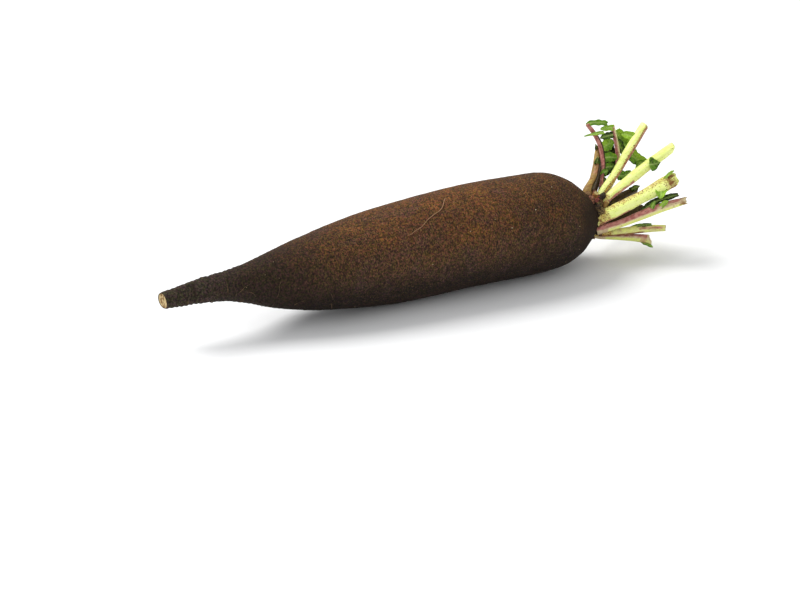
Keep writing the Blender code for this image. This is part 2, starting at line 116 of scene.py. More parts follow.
def smooth_value(stations, at, column):
    """A column of the stations at a distance, along a curve with no corners."""
    last = len(stations) - 1
    i = 0
    while i < last - 1 and at > stations[i + 1][0]:
        i += 1

    def slope(k):
        before, after = stations[max(k - 1, 0)], stations[min(k + 1, last)]
        return (after[column] - before[column]) / (after[0] - before[0])

    start, end = stations[i], stations[i + 1]
    run = end[0] - start[0]
    t = (at - start[0]) / run
    return (
        (2 * t**3 - 3 * t**2 + 1) * start[column]
        + (t**3 - 2 * t**2 + t) * run * slope(i)
        + (3 * t**2 - 2 * t**3) * end[column]
        + (t**3 - t**2) * run * slope(i + 1)
    )


def ease(share):
    """0 to 1 with a soft start and a soft end."""
    share = min(max(share, 0.0), 1.0)
    return share * share * (3 - 2 * share)


def lump(distance, angle):
    """Slow unevenness of the skin, none at the crown's rim."""
    waves = (
        math.sin(distance / 17 + 2 * angle)
        + 0.7 * math.sin(distance / 11 - 3 * angle + 1.0)
        + 0.5 * math.sin(distance / 29 + angle + 2.0)
    )
    fade = min(1.0, (CROWN_AT - distance) / 20, 0.3 + distance / 40)
    return LUMP_HEIGHT * waves * max(fade, 0.0)


def fold(number, angle, distance):
    """How far one ring of the neck stands out or in at a place on its turn."""
    side = 1.0 if number % 2 else -1.0
    reach = 0.5 + 0.3 * math.sin(2.3 * number) + 0.4 * math.sin(angle * (1 + number % 3) + 1.9 * number)
    return side * FOLD_HEIGHT * reach * max(0.0, 1 - distance / FOLDS_END) ** 0.5


def folds(distance, angle):
    place = distance / (FOLD_PITCH / 2)
    number = int(place)
    share = ease(place - number)
    return (1 - share) * fold(number, angle, distance) + share * fold(number + 1, angle, distance)


def crack(distance, angle, radius):
    deepest = 0.0
    for at, clock, length, depth in CRACKS:
        along = abs(distance - at) / CRACK_HALF_WIDTH
        if along < 1:
            turn = (angle - math.radians(clock) + math.pi) % math.tau - math.pi
            across = abs(turn) * radius / (length / 2)
            if across < 1:
                deepest = max(deepest, depth * (1 - along**2) ** 2 * (1 - across**2))
    return deepest


def squeezed(spot, sizes):
    return Vector([place / size for place, size in zip(spot, sizes)])


def skin_relief(distance, angle, radius):
    """Dents, pits and fine creases that the solid leaves out."""
    spot = Vector((distance, radius * math.sin(angle), radius * math.cos(angle)))
    neck = max(0.0, 1 - distance / NECK_CREASES_END)
    relief = DENT_HEIGHT * noise.noise(spot / DENT_WIDTH) + RIPPLE_HEIGHT * noise.noise(spot / RIPPLE_WIDTH)
    relief -= PIT_DEPTH * max(0.0, noise.noise(spot / PIT_WIDTH + Vector((7, 3, 1))) - PIT_SHARE)
    relief += (CREASE_HEIGHT + NECK_CREASE_HEIGHT * neck) * noise.noise(squeezed(spot, CREASE_SIZES))
    return relief - crack(distance, angle, radius)


def stem_relief(distance, angle, radius):
    """Ridges and torn bases that old leaves left round the stem."""
    spot = Vector((distance, radius * math.sin(angle), radius * math.cos(angle)))
    ridges = STEM_RIDGE_HEIGHT * noise.noise(squeezed(spot, STEM_RIDGE_SIZES))
    return ridges + sum(height * noise.noise(spot / width) for height, width in STEM_LUMPS)


def skin_reach(distance, angle):
    """Radius of the finished skin at a distance and a clock angle, and how much of it is fine relief."""
    if distance <= STEM_OUTLINE[0][0]:
        radius = smooth_value(ROOT_OUTLINE, distance, 1)
        fine = skin_relief(distance, angle, radius) * min(1.0, 0.4 + distance / 20)
        return radius + lump(distance, angle) + folds(distance, angle) + fine, fine
    radius = smooth_value(STEM_OUTLINE, distance, 1)
    fine = stem_relief(distance, angle, radius) * min(1.0, distance - STEM_OUTLINE[0][0], radius / 5)
    return radius + lump(distance, angle) + fine, fine


def skin_point(distance, angle, reach):
    """A place at a distance from the tail, a clock angle and a reach from the centre line."""
    sway = TAIL_SWAY * max(0.0, 1 - distance / TAIL_SWAY_LENGTH) ** 2
    cut = TAIL_CUT_SLOPE * max(0.0, 1 - distance / TAIL_CUT_REACH)
    rise = smooth_value(ROOT_OUTLINE, distance, 2) if distance < CROWN_AT else 0.0
    side, up = reach * math.sin(angle), reach * math.cos(angle)
    height = AXIS_HEIGHT + rise * ease((CROWN_AT - distance) / 4) + up
    return Vector((TAIL_X + distance - cut * side, side + sway, max(height, 0.0)))


def tube_faces(rings, sides):
    """Faces of a tube of rings, closed by a flat cap at each end."""
    faces = []
    for r in range(rings - 1):
        for k in range(sides):
            a, b = r * sides + k, r * sides + (k + 1) % sides
            faces.append((a, b, b + sides, a + sides))
    faces.append(tuple(range(sides)))
    faces.append(tuple((rings - 1) * sides + k for k in range(sides)))
    return faces


def new_piece(name, points, faces, finish, marks):
    """A smooth piece from points in millimetres, none below the table, with marks kept on its points."""
    mesh = bpy.data.meshes.new(name)
    mesh.from_pydata([Vector((x, y, max(z, 0.0))) * MM for x, y, z in points], [], faces)
    shell = bmesh.new()
    shell.from_mesh(mesh)
    bmesh.ops.recalc_face_normals(shell, faces=shell.faces)
    shell.to_mesh(mesh)
    shell.free()
    for mark, values in marks.items():
        mesh.attributes.new(mark, "FLOAT", "POINT").data.foreach_set("value", values)
    mesh.materials.append(finish)
    mesh.shade_smooth()
    made = in_scene(name, mesh)
    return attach(made, "root")


class Finish:
    """A node material in the making: a base colour, and coats and patterns over it."""

    def __init__(self, name, specular, base):
        self.material = bpy.data.materials.new(name)
        self.material.use_nodes = True
        self.tree = self.material.node_tree
        self.shader = self.tree.nodes["Principled BSDF"]
        self.shader.inputs["Specular IOR Level"].default_value = specular
        self.place = self.node("TexCoord", {}, "Object")
        self.colour = base

    def node(self, kind, inputs, output=0, **settings):
        """Adds a node, fills or joins its inputs, and gives one of its outputs."""
        made = self.tree.nodes.new("ShaderNode" + kind)
        for name, value in settings.items():
            setattr(made, name, value)
        for key, value in inputs.items():
            self.join(value, made.inputs[key])
        return made.outputs[output]

    def join(self, value, socket):
        if isinstance(value, bpy.types.NodeSocket):
            self.tree.links.new(value, socket)
        else:
            socket.default_value = value

    def mark(self, name):
        return self.node("Attribute", {}, "Fac", attribute_name=name)

    def noise(self, size, detail=2.0, stretch=(1, 1, 1), place=None):
        """Cloudy pattern whose blots are about size millimetres wide."""
        spot = self.node("Mapping", {"Vector": place or self.place, "Scale": stretch})
        return self.node("TexNoise", {"Vector": spot, "Scale": 1 / (size * MM), "Detail": detail})

    def axis(self, name):
        """Distance from the origin along an axis, in millimetres."""
        return self.times(self.node("SeparateXYZ", {"Vector": self.place}, name), 1 / MM)

    def between(self, value, low, high, most=1.0):
        """Share that rises softly from 0 at low to most at high."""
        inputs = {"Value": value, "From Min": low, "From Max": high, "To Max": most}
        return self.node("MapRange", inputs, interpolation_type="SMOOTHSTEP")

    def times(self, a, b):
        return self.node("Math", {0: a, 1: b}, operation="MULTIPLY")

    def plus(self, a, b):
        return self.node("Math", {0: a, 1: b}, operation="ADD")

    def blend(self, share, a, b, how="MIX"):
        colours = [c if isinstance(c, bpy.types.NodeSocket) else (*c, 1.0) for c in (a, b)]
        inputs = {0: share, 6: colours[0], 7: colours[1]}
        return self.node("Mix", inputs, 2, data_type="RGBA", blend_type=how)

    def coat(self, share, colour, how="MIX"):
        """Lays a colour over the finish so far, as strongly as the share says."""
        self.colour = self.blend(share, self.colour, colour, how)

    def bump(self, height, depth, under=None):
        """Relief of a depth in millimetres, over other relief if there is any."""
        inputs = {"Height": height, "Distance": depth * MM}
        if under:
            inputs["Normal"] = under
        return self.node("Bump", inputs)

    def done(self, roughness, normal):
        self.join(self.colour, self.shader.inputs["Base Color"])
        self.join(roughness, self.shader.inputs["Roughness"])
        self.join(normal, self.shader.inputs["Normal"])
        return self.material


COAL = (0.02, 0.012, 0.008)
SHADED_UNDER_BROWN = (0.021, 0.016, 0.013)
HALF_LIT_BROWN = (0.095, 0.052, 0.025)
LIT_TOP_BROWN = (0.132, 0.056, 0.019)
LIT_RUST = (0.23, 0.095, 0.026)
PURPLE_GREY = (0.075, 0.045, 0.042)
TAIL_GREY = (0.048, 0.04, 0.03)
END_DULL = (0.62, 0.69, 0.76)
TAN_FLECK_AND_HIGHLIGHT = (0.3, 0.175, 0.08)
SPECKLE_DARK = (0.54, 0.58, 0.66)
SPECKLE_LIGHT = (1.56, 1.5, 1.4)
TINGE_GREEN = (0.86, 1.04, 0.78)
TINGE_PURPLE = (1.12, 0.92, 1.22)
STEM_BROWN = (0.022, 0.014, 0.009)
STEM_TAN = (0.11, 0.065, 0.028)
FLESH_CREAM = (0.56, 0.43, 0.22)
FLESH_BROWN = (0.2, 0.11, 0.045)

# Where a colour sets in and where it is full: heights over the table, which set the painted light and shade
# from the nearly black underside to the lit top, then places along the root, whose middle is near 0, and
# one of each for the painted shadow under the crown.
LEVEL_SWAY = 14
HALF_LIT_FADE = (12, 30)
LIT_TOP_FADE = (22, 46)
TOP_LIT_FADE = (20, 44)
TAIL_END_FADE = (-30, -90)
CROWN_END_FADE = (-5, 50)
TAIL_FADE = (-85, -130)
NECK_FADES = ((-75, -105), (-138, -118))
FLECK_FADE = (-110, -50)
RIDGE_HIGHLIGHT_FADE = (-90, -120)
CROWN_SHADOW_FADES = ((56, 68), (43, 32))
NET_WIDTH = 1.6


def black_skin():
    """Dark brown and finely speckled, with painted light and shade: lighter towards the top, nearly black
    below, and its rust-brown patches kept to the lit top.
    """
    skin = Finish("black_skin", 0.08, SHADED_UNDER_BROWN)
    slow = skin.noise(26, 3)
    patches = skin.noise(9, 4)
    mottle = skin.noise(1.7, 4)
    grain = skin.noise(0.55, 3, (1, 0.6, 0.6))
    grit = skin.noise(0.7, 2, (1.2, 0.8, 0.8))
    speckle = skin.noise(0.8, 3, (1.1, 0.9, 0.9))
    tint = skin.noise(1.2, 1, (1, 1, 1), skin.node("VectorMath", {0: skin.place, 1: (0.3, 0.1, 0.2)}))
    along = skin.axis("X")
    height = skin.axis("Z")
    relief = skin.mark("relief")
    # Painted light and shade: nearly black below, and lighter browns laid over it by height, swayed a
    # little, lightest on top.
    level = skin.plus(height, skin.times(skin.plus(slow, -0.5), LEVEL_SWAY))
    skin.coat(skin.between(level, *HALF_LIT_FADE), HALF_LIT_BROWN)
    skin.coat(skin.between(level, *LIT_TOP_FADE), LIT_TOP_BROWN)
    # The skin's own rust-brown patches, kept to the top, where they also paint the light falling on it.
    upper = skin.between(height, *TOP_LIT_FADE)
    skin.coat(skin.times(skin.between(patches, 0.5, 0.68, 0.55), upper), LIT_RUST)
    skin.coat(skin.between(patches, 0.5, 0.34, 0.35), PURPLE_GREY)
    ends = skin.plus(skin.between(along, *TAIL_END_FADE), skin.between(along, *CROWN_END_FADE))
    skin.coat(ends, END_DULL, "MULTIPLY")
    skin.coat(skin.between(along, *TAIL_FADE, 0.8), TAIL_GREY)
    neck = skin.times(skin.between(along, *NECK_FADES[0]), skin.between(along, *NECK_FADES[1], 0.55))
    skin.coat(neck, COAL)
    skin.coat(skin.between(mottle, 0.54, 0.36, 0.55), COAL)
    skin.coat(skin.between(grain, 0.53, 0.38, 0.8), COAL)
    skin.coat(1.0, skin.blend(skin.between(speckle, 0.36, 0.64), SPECKLE_DARK, SPECKLE_LIGHT), "MULTIPLY")
    skin.coat(1.0, skin.blend(skin.between(tint, 0.38, 0.62), TINGE_GREEN, TINGE_PURPLE), "MULTIPLY")
    # The skin's own tan grit flecks, twice as many on top, where they also paint light.
    flecks = skin.times(skin.plus(skin.times(upper, 0.22), 0.22), skin.between(along, *FLECK_FADE))
    skin.coat(skin.times(skin.between(grit, 0.56, 0.70), flecks), TAN_FLECK_AND_HIGHLIGHT)
    # Painted shade: nearly black in the skin's valleys, cracks and pits.
    skin.coat(skin.between(relief, -0.12, -0.38), COAL)
    # Painted highlight: pale tan on the raised rings of the folded neck.
    ridges = skin.times(skin.between(relief, 0.14, 0.40, 0.30), skin.between(along, *RIDGE_HIGHLIGHT_FADE))
    skin.coat(ridges, TAN_FLECK_AND_HIGHLIGHT)
    stem = skin.blend(skin.between(mottle, 0.45, 0.6), STEM_BROWN, STEM_TAN)
    skin.coat(skin.mark("stem"), skin.blend(skin.between(grain, 0.5, 0.4), stem, COAL))
    # Painted shadow: nearly black low on the body just under the crown, where the stalk feet shade it.
    crown_shadow = skin.times(skin.between(along, *CROWN_SHADOW_FADES[0]), skin.between(height, *CROWN_SHADOW_FADES[1], 0.9))
    skin.coat(crown_shadow, COAL)
    skin.coat(skin.mark("flesh"), skin.blend(skin.between(mottle, 0.4, 0.6), FLESH_CREAM, FLESH_BROWN))
    cells = {"Vector": skin.place, "Scale": 1 / (NET_WIDTH * MM)}
    net = skin.between(skin.node("TexVoronoi", cells, feature="DISTANCE_TO_EDGE"), 0.0, 0.12)
    rough = skin.bump(net, 0.08, skin.bump(grain, 0.25, skin.bump(mottle, 0.3)))
    return skin.done(skin.between(grain, -0.6, 0.9), rough)


def make_root():
    points, relief, stem, flesh = [], [], [], []
    rings = [(depth, share) for share, depth in TAIL_FACE]
    for (start, step), (end, _) in zip(RING_STEPS, RING_STEPS[1:]):
        count = round((end - start) / step)
        rings += [(start + (end - start) * k / count, 1.0) for k in range(count)]
    for distance, share in rings:
        for k in range(ROOT_SIDES):
            angle = math.tau * k / ROOT_SIDES
            reach, fine = skin_reach(distance, angle)
            points.append(skin_point(distance, angle, reach * share))
            relief.append(fine + folds(distance, angle) if distance < STEM_OUTLINE[0][0] else 0.0)
            stem.append(ease((distance - STEM_COLOUR_FROM) / STEM_COLOUR_FADE))
            flesh.append(ease((FLESH_EDGE - share) / FLESH_FADE))
    marks = {"relief": relief, "stem": stem, "flesh": flesh}
    return new_piece("root_skin", points, tube_faces(len(rings), ROOT_SIDES), black_skin(), marks)


root = make_root()
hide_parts("root")


# The rootlets
# Threads thinner than a millimetre that grow out of the skin. A long tan one lies over the
# barrel, and the others are short, dark and mostly on the neck and along both sides.

# Places on the skin: distance from the tail and clock angle in degrees.
LONG_ROOTLET = (
    (146.5, -12), (145, -16), (143, -22), (140.5, -27), (136, -31), (132, -35), (128, -41), (124, -44),
    (120.5, -47), (118.5, -46),
)
LONG_ROOTLET_FORK = ((121.5, -46.5), (119.5, -45), (118, -43.5))
SHORT_ROOTLETS = 34
ROOTLET_REACHES = ((6, 60), (20, 150), (60, 215))
ROOTLET_ROWS, ROW_SPREAD = (82, -98), 16
NECK_END, NECK_CLOCKS = 60, (45, 290)
ROOTLET_LENGTHS = (3, 11)
ROOTLET_PLACES = 6
ROOTLET_BURIED = 0.15
THREAD_SIDES = 7
ROOTLET_TANS = ((0.30, 0.16, 0.085), (0.24, 0.13, 0.06))
ROOTLET_BROWNS = ((0.10, 0.06, 0.03), (0.03, 0.02, 0.012))


def curve_points(route, count):
    """Points evenly spaced along a smooth curve through the route."""
    points = [Vector(p) for p in route]
    lengths = [0.0]
    for a, b in zip(points, points[1:]):
        lengths.append(lengths[-1] + (b - a).length)
    stations = [(d, *p) for d, p in zip(lengths, points)]
    places = [lengths[-1] * k / (count - 1) for k in range(count)]
    return [Vector([smooth_value(stations, s, c) for c in (1, 2, 3)]) for s in places]


def tangents(points):
    last = len(points) - 1
    return [(points[min(k + 1, last)] - points[max(k - 1, 0)]).normalized() for k in range(last + 1)]


def thread_points(route, count, thick, thin):
    """Rings of a round thread that thins out along its route."""
    centres = curve_points(route, count)
    points = []
    for r, (centre, ahead) in enumerate(zip(centres, tangents(centres))):
        side = ahead.cross(Vector((0.3, 0.2, 0.93))).normalized()
        other = ahead.cross(side)
        radius = (thick + (thin - thick) * r / (count - 1)) / 2
        for k in range(THREAD_SIDES):
            angle = math.tau * k / THREAD_SIDES
            points.append(centre + radius * (math.cos(angle) * side + math.sin(angle) * other))
    return points


def lying(places, lift):
    """A route over the skin that starts in it, rises to lift and comes down at its tip."""
    route = []
    for k, (distance, clock) in enumerate(places):
        angle = math.radians(clock)
        share = k / (len(places) - 1)
        rise = lift * math.sin(math.pi * min(1.0, 0.1 + share)) ** 0.5 - ROOTLET_BURIED
        route.append(skin_point(distance, angle, skin_reach(distance, angle)[0] + rise))
    return route


def short_rootlet(dice):
    """Places of one short rootlet, most of them in the two rows in which side roots grow."""
    distance = dice.choice([dice.uniform(*reach) for reach in ROOTLET_REACHES])
    clock = dice.choice(ROOTLET_ROWS) + dice.gauss(0, ROW_SPREAD)
    if distance < NECK_END:
        clock = dice.uniform(*NECK_CLOCKS)
    step = dice.uniform(*ROOTLET_LENGTHS) / (ROOTLET_PLACES - 1)
    heading = dice.uniform(-2.6, -0.5) * dice.choice((1, -1))
    places = []
    for _ in range(ROOTLET_PLACES):
        places.append((max(distance, 1.0), clock))
        heading += dice.uniform(-0.5, 0.5)
        radius = smooth_value(ROOT_OUTLINE, distance, 1)
        distance += step * math.cos(heading)
        clock += math.degrees(step * math.sin(heading) / radius)
    return places


def blotchy_finish(name, colour, dark):
    finish = Finish(name, 0.3, colour)
    fine = finish.noise(0.4, 2)
    finish.coat(finish.between(finish.noise(2.2, 3), 0.35, 0.65), dark)
    return finish.done(finish.between(fine, -0.8, 1.0), finish.bump(fine, 0.08))


def add_body(points, faces, body, body_faces):
    """Adds one body's points and faces to those of the piece that it belongs to."""
    faces += [tuple(len(points) + k for k in face) for face in body_faces]
    points += body


def add_threads(name, threads, finish):
    """Several threads as one piece: each is a route, a ring count, and widths at root and tip."""
    points, faces = [], []
    for route, count, thick, thin in threads:
        body = thread_points(route, count, thick, thin)
        add_body(points, faces, body, tube_faces(count, THREAD_SIDES))
    made = new_piece(name, points, faces, finish, {})
    return made


dice = random.Random(20)
add_threads(
    "long_rootlet",
    [
        (lying(LONG_ROOTLET, 0.35), 90, 0.5, 0.25),
        (lying(LONG_ROOTLET_FORK, 0.3), 20, 0.3, 0.15),
    ],
    blotchy_finish("tan_rootlet", *ROOTLET_TANS),
)
add_threads(
    "short_rootlets",
    [(lying(short_rootlet(dice), 0.45), 24, 0.4, 0.16) for _ in range(SHORT_ROOTLETS)],
    blotchy_finish("brown_rootlet", *ROOTLET_BROWNS),
)


# Specks of soil
# Grains of dry pale soil, about a millimetre wide at most, that washing left on the skin. They
# only stick to it.

# Those that show from the tail's side: distance from the tail, clock angle, width.
SEEN_SPECKS = ((189.5, -51, 0.9), (174, -65, 1.1), (214.5, -79, 0.7), (130, -87, 0.7), (204.5, -26, 0.6))
SPECKS = 46
SPECK_REACH = (12, 228)
SPECK_WIDTHS = (0.25, 0.6)
SPECK_RINGS = 5
SPECK_SIDES = 8
SOIL_PALE = (0.44, 0.34, 0.21)
SOIL_BROWN = (0.2, 0.13, 0.07)


def speck_points(distance, clock, width, dice):
    """An uneven grain that sits with its lower part in the skin."""
    angle = math.radians(clock)
    centre = skin_point(distance, angle, skin_reach(distance, angle)[0] + 0.1 * width)
    seed = Vector((dice.uniform(0, 90), dice.uniform(0, 90), dice.uniform(0, 90)))
    points = []
    for r in range(SPECK_RINGS):
        tilt = math.pi * (r + 0.5) / SPECK_RINGS
        for k in range(SPECK_SIDES):
            turn = math.tau * k / SPECK_SIDES
            ray = Vector((math.cos(tilt), math.sin(tilt) * math.cos(turn), math.sin(tilt) * math.sin(turn)))
            points.append(centre + ray * width / 2 * (0.8 + 0.6 * noise.noise(ray * 1.5 + seed)))
    return points


def make_specks():
    dice = random.Random(31)
    places = list(SEEN_SPECKS)
    for _ in range(SPECKS):
        places.append((dice.uniform(*SPECK_REACH), dice.uniform(0, 360), dice.uniform(*SPECK_WIDTHS)))
    points, faces = [], []
    for place in places:
        add_body(points, faces, speck_points(*place, dice), tube_faces(SPECK_RINGS, SPECK_SIDES))
    return new_piece("soil_specks", points, faces, blotchy_finish("pale_soil", SOIL_PALE, SOIL_BROWN), {})


make_specks()


# The crown's scales
# Brown, olive and reddish bases of leaves that withered or were pulled off. They sit close
# together round the short stem, between the feet of the stalks, and are grown to it.
SCALES = 34
SCALE_COLUMNS = 8
SCALE_ROWS = 14

# Those on the side of the long rootlet: distance from the tail, clock angle, length, width, and how red,
# green and dark each is; the dark is partly the scales' own withered brown and partly painted shade deep in
# the crown. The others fill the far side, within spans of the first four values and with a mean and spread
# of the last three.
NEAR_SCALES = (
    (233.6, -22, 4.2, 5.5, 1, 0, 0), (234.2, -4, 4, 4, 0.6, 0, 0.2),
    (234.4, -42, 3, 4.6, 0.1, 0.8, 0.1), (236.5, -32, 2.6, 3.4, 0.3, 0.4, 0.2),
    (238.5, -14, 4, 4, 0, 0, 0.9), (240, -46, 3, 3, 0, 0, 0.95), (234, -60, 3, 5, 0, 0.2, 0),
    (234.4, -78, 3, 5.5, 0, 0, 0), (233.8, -96, 3, 4.5, 0, 0.1, 0.1),
    (238, -66, 3, 3.6, 0.2, 0.3, 0.5), (234.6, -112, 3.2, 4, 0, 0.4, 0.3),
    (236.5, -104, 2.8, 3, 0, 0.3, 0.4), (233, -50, 2.4, 4.2, 0.1, 0.1, 0.6),
    (233, -86, 2.2, 4.4, 0, 0, 0.7), (231.6, -24, 2.2, 5, 0.5, 0, 0), (231.8, -4, 2.4, 4, 0.2, 0.1, 0),
)
SCALE_SPANS = ((232.5, 240.5), (5, 242), (2.2, 4.8), (1.8, 4.2))
SCALE_TINTS = ((0, 0.35), (0.1, 0.4), (0, 0.3))
SCALE_LEANS, SCALE_CURLS = (0.25, 0.8), (-0.2, 0.5)
SCALE_SHADED_FOOT_SHARE = 0.25
SCALE_BROWN = (0.045, 0.026, 0.013)
SCALE_TAN = (0.26, 0.165, 0.066)
SCALE_RED = (0.29, 0.075, 0.055)
SCALE_OLIVE = (0.13, 0.12, 0.03)
SCALE_DARK_AND_SHADE = (0.02, 0.014, 0.009)


def sheet_points(centres, facing, half_width, thickness, lift, columns):
    """Upper points row by row, then the lower ones, of a thin leaf-like body along its middle line."""
    upper, lower, place = [], [], []
    for r, (centre, ahead) in enumerate(zip(centres, tangents(centres))):
        t = r / (len(centres) - 1)
        normal = (facing - facing.dot(ahead) * ahead).normalized()
        side = ahead.cross(normal)
        for c in range(columns + 1):
            v = 2 * c / columns - 1
            width = half_width(t, v)
            middle = centre + side * v * width + normal * lift(t, v, width)
            half = thickness(t, v) / 2
            upper.append(middle + normal * half)
            lower.append(middle - normal * half)
            place.append((t, v))
    return upper + lower, place + place


def sheet_faces(rows, columns):
    """Both faces of a thin body, and the rim that joins them."""
    width = columns + 1
    below = rows * width
    faces = []
    for r in range(rows - 1):
        for c in range(columns):
            a = r * width + c
            quad = (a, a + 1, a + 1 + width, a + width)
            faces += [quad, tuple(below + k for k in reversed(quad))]
    rim = list(range(width))
    rim += [r * width + columns for r in range(1, rows)]
    rim += [(rows - 1) * width + c for c in range(columns - 1, -1, -1)]
    rim += [r * width for r in range(rows - 2, 0, -1)]
    for a, b in zip(rim, rim[1:] + rim[:1]):
        faces.append((a, a + below, b + below, b))
    return faces


def scale_body(distance, clock, length, width, dice):
    """One scale: rooted in the stem, leaning outwards, with a torn tip."""
    angle = math.radians(clock)
    outward = Vector((0, math.sin(angle), math.cos(angle)))
    foot = skin_point(distance, angle, skin_reach(distance, angle)[0] - 0.7)
    lean = dice.uniform(*SCALE_LEANS)
    curl = dice.uniform(*SCALE_CURLS)
    middle = foot + Vector((1, 0, 0)) * length * 0.5 + outward * length * 0.5 * lean
    tip = foot + Vector((1, 0, 0)) * length * (1 - 0.3 * curl) + outward * length * (lean + curl * 0.4)
    seed = dice.uniform(0, 50)

    def half_width(t, v):
        torn = 1 + 0.45 * noise.noise(Vector((t * 4, v * 2, seed)))
        return width / 2 * (1 - t**3) ** 0.6 * torn + 0.15

    def thickness(t, v):
        return (1.5 - 1.0 * t) * (1 - 0.6 * v * v) + 0.2

    def lift(t, v, wide):
        return -0.35 * wide * v * v + 0.5 * noise.noise(Vector((t * 5, v * 3, seed + 9)))

    centres = curve_points((foot, middle, tip), SCALE_ROWS)
    return sheet_points(centres, outward, half_width, thickness, lift, SCALE_COLUMNS)


def crown_scale_finish():
    scale = Finish("crown_scale", 0.2, SCALE_BROWN)
    blots = scale.noise(1.8, 4)
    fibres = scale.noise(0.5, 3, (0.3, 1, 1))
    scale.coat(scale.between(blots, 0.36, 0.58), SCALE_TAN)
    scale.coat(scale.times(scale.mark("green"), scale.between(blots, 0.3, 0.5)), SCALE_OLIVE)
    scale.coat(scale.times(scale.mark("red"), scale.between(blots, 0.25, 0.45)), SCALE_RED)
    scale.coat(scale.between(fibres, 0.52, 0.36), SCALE_DARK_AND_SHADE)
    # Painted shade: each scale darkens towards its foot, deep in the crown, and those marked dark darken
    # all over.
    scale.coat(scale.mark("deep"), SCALE_DARK_AND_SHADE)
    return scale.done(scale.between(fibres, -0.7, 0.9), scale.bump(fibres, 0.25, scale.bump(blots, 0.5)))


def make_crown_scales():
    dice = random.Random(8)
    wanted = list(NEAR_SCALES)
    for _ in range(SCALES):
        form = [dice.uniform(*span) for span in SCALE_SPANS]
        wanted.append(form + [max(0.0, dice.gauss(*tint)) for tint in SCALE_TINTS])
    points, faces, marks = [], [], {"red": [], "green": [], "deep": []}
    for distance, clock, length, width, red, green, dark in wanted:
        body, place = scale_body(distance, clock, length, width, dice)
        add_body(points, faces, body, sheet_faces(SCALE_ROWS, SCALE_COLUMNS))
        marks["red"] += [red] * len(body)
        marks["green"] += [green] * len(body)
        marks["deep"] += [max(dark, ease(1 - t / SCALE_SHADED_FOOT_SHARE)) for t, _ in place]
    return new_piece("crown_scales", points, faces, crown_scale_finish(), marks)


make_crown_scales()


# The leaf stalks
# Juicy half-round stalks with fine ribs and a groove on their inner side, grown from the crown
# and cut across with a knife. Yellow-green and cream, flushed plum, and brown at foot and cut.
STALK_SIDES = 44
STALK_STEP = 0.6
GROOVE = 0.28
TIP_PART = 0.125
RIBS = 13
RIB_HEIGHT = 0.022
UNEVENNESS = 0.07
CRUMPLE = 0.55
PITH_HEIGHT = 0.12
CUT_RIM = 0.1
FACE_SHARES = (0.95, 0.86, 0.7, 0.5, 0.3, 0.1)
BUNDLE_SHARE, BUNDLE_EVERY = 0.7, 5

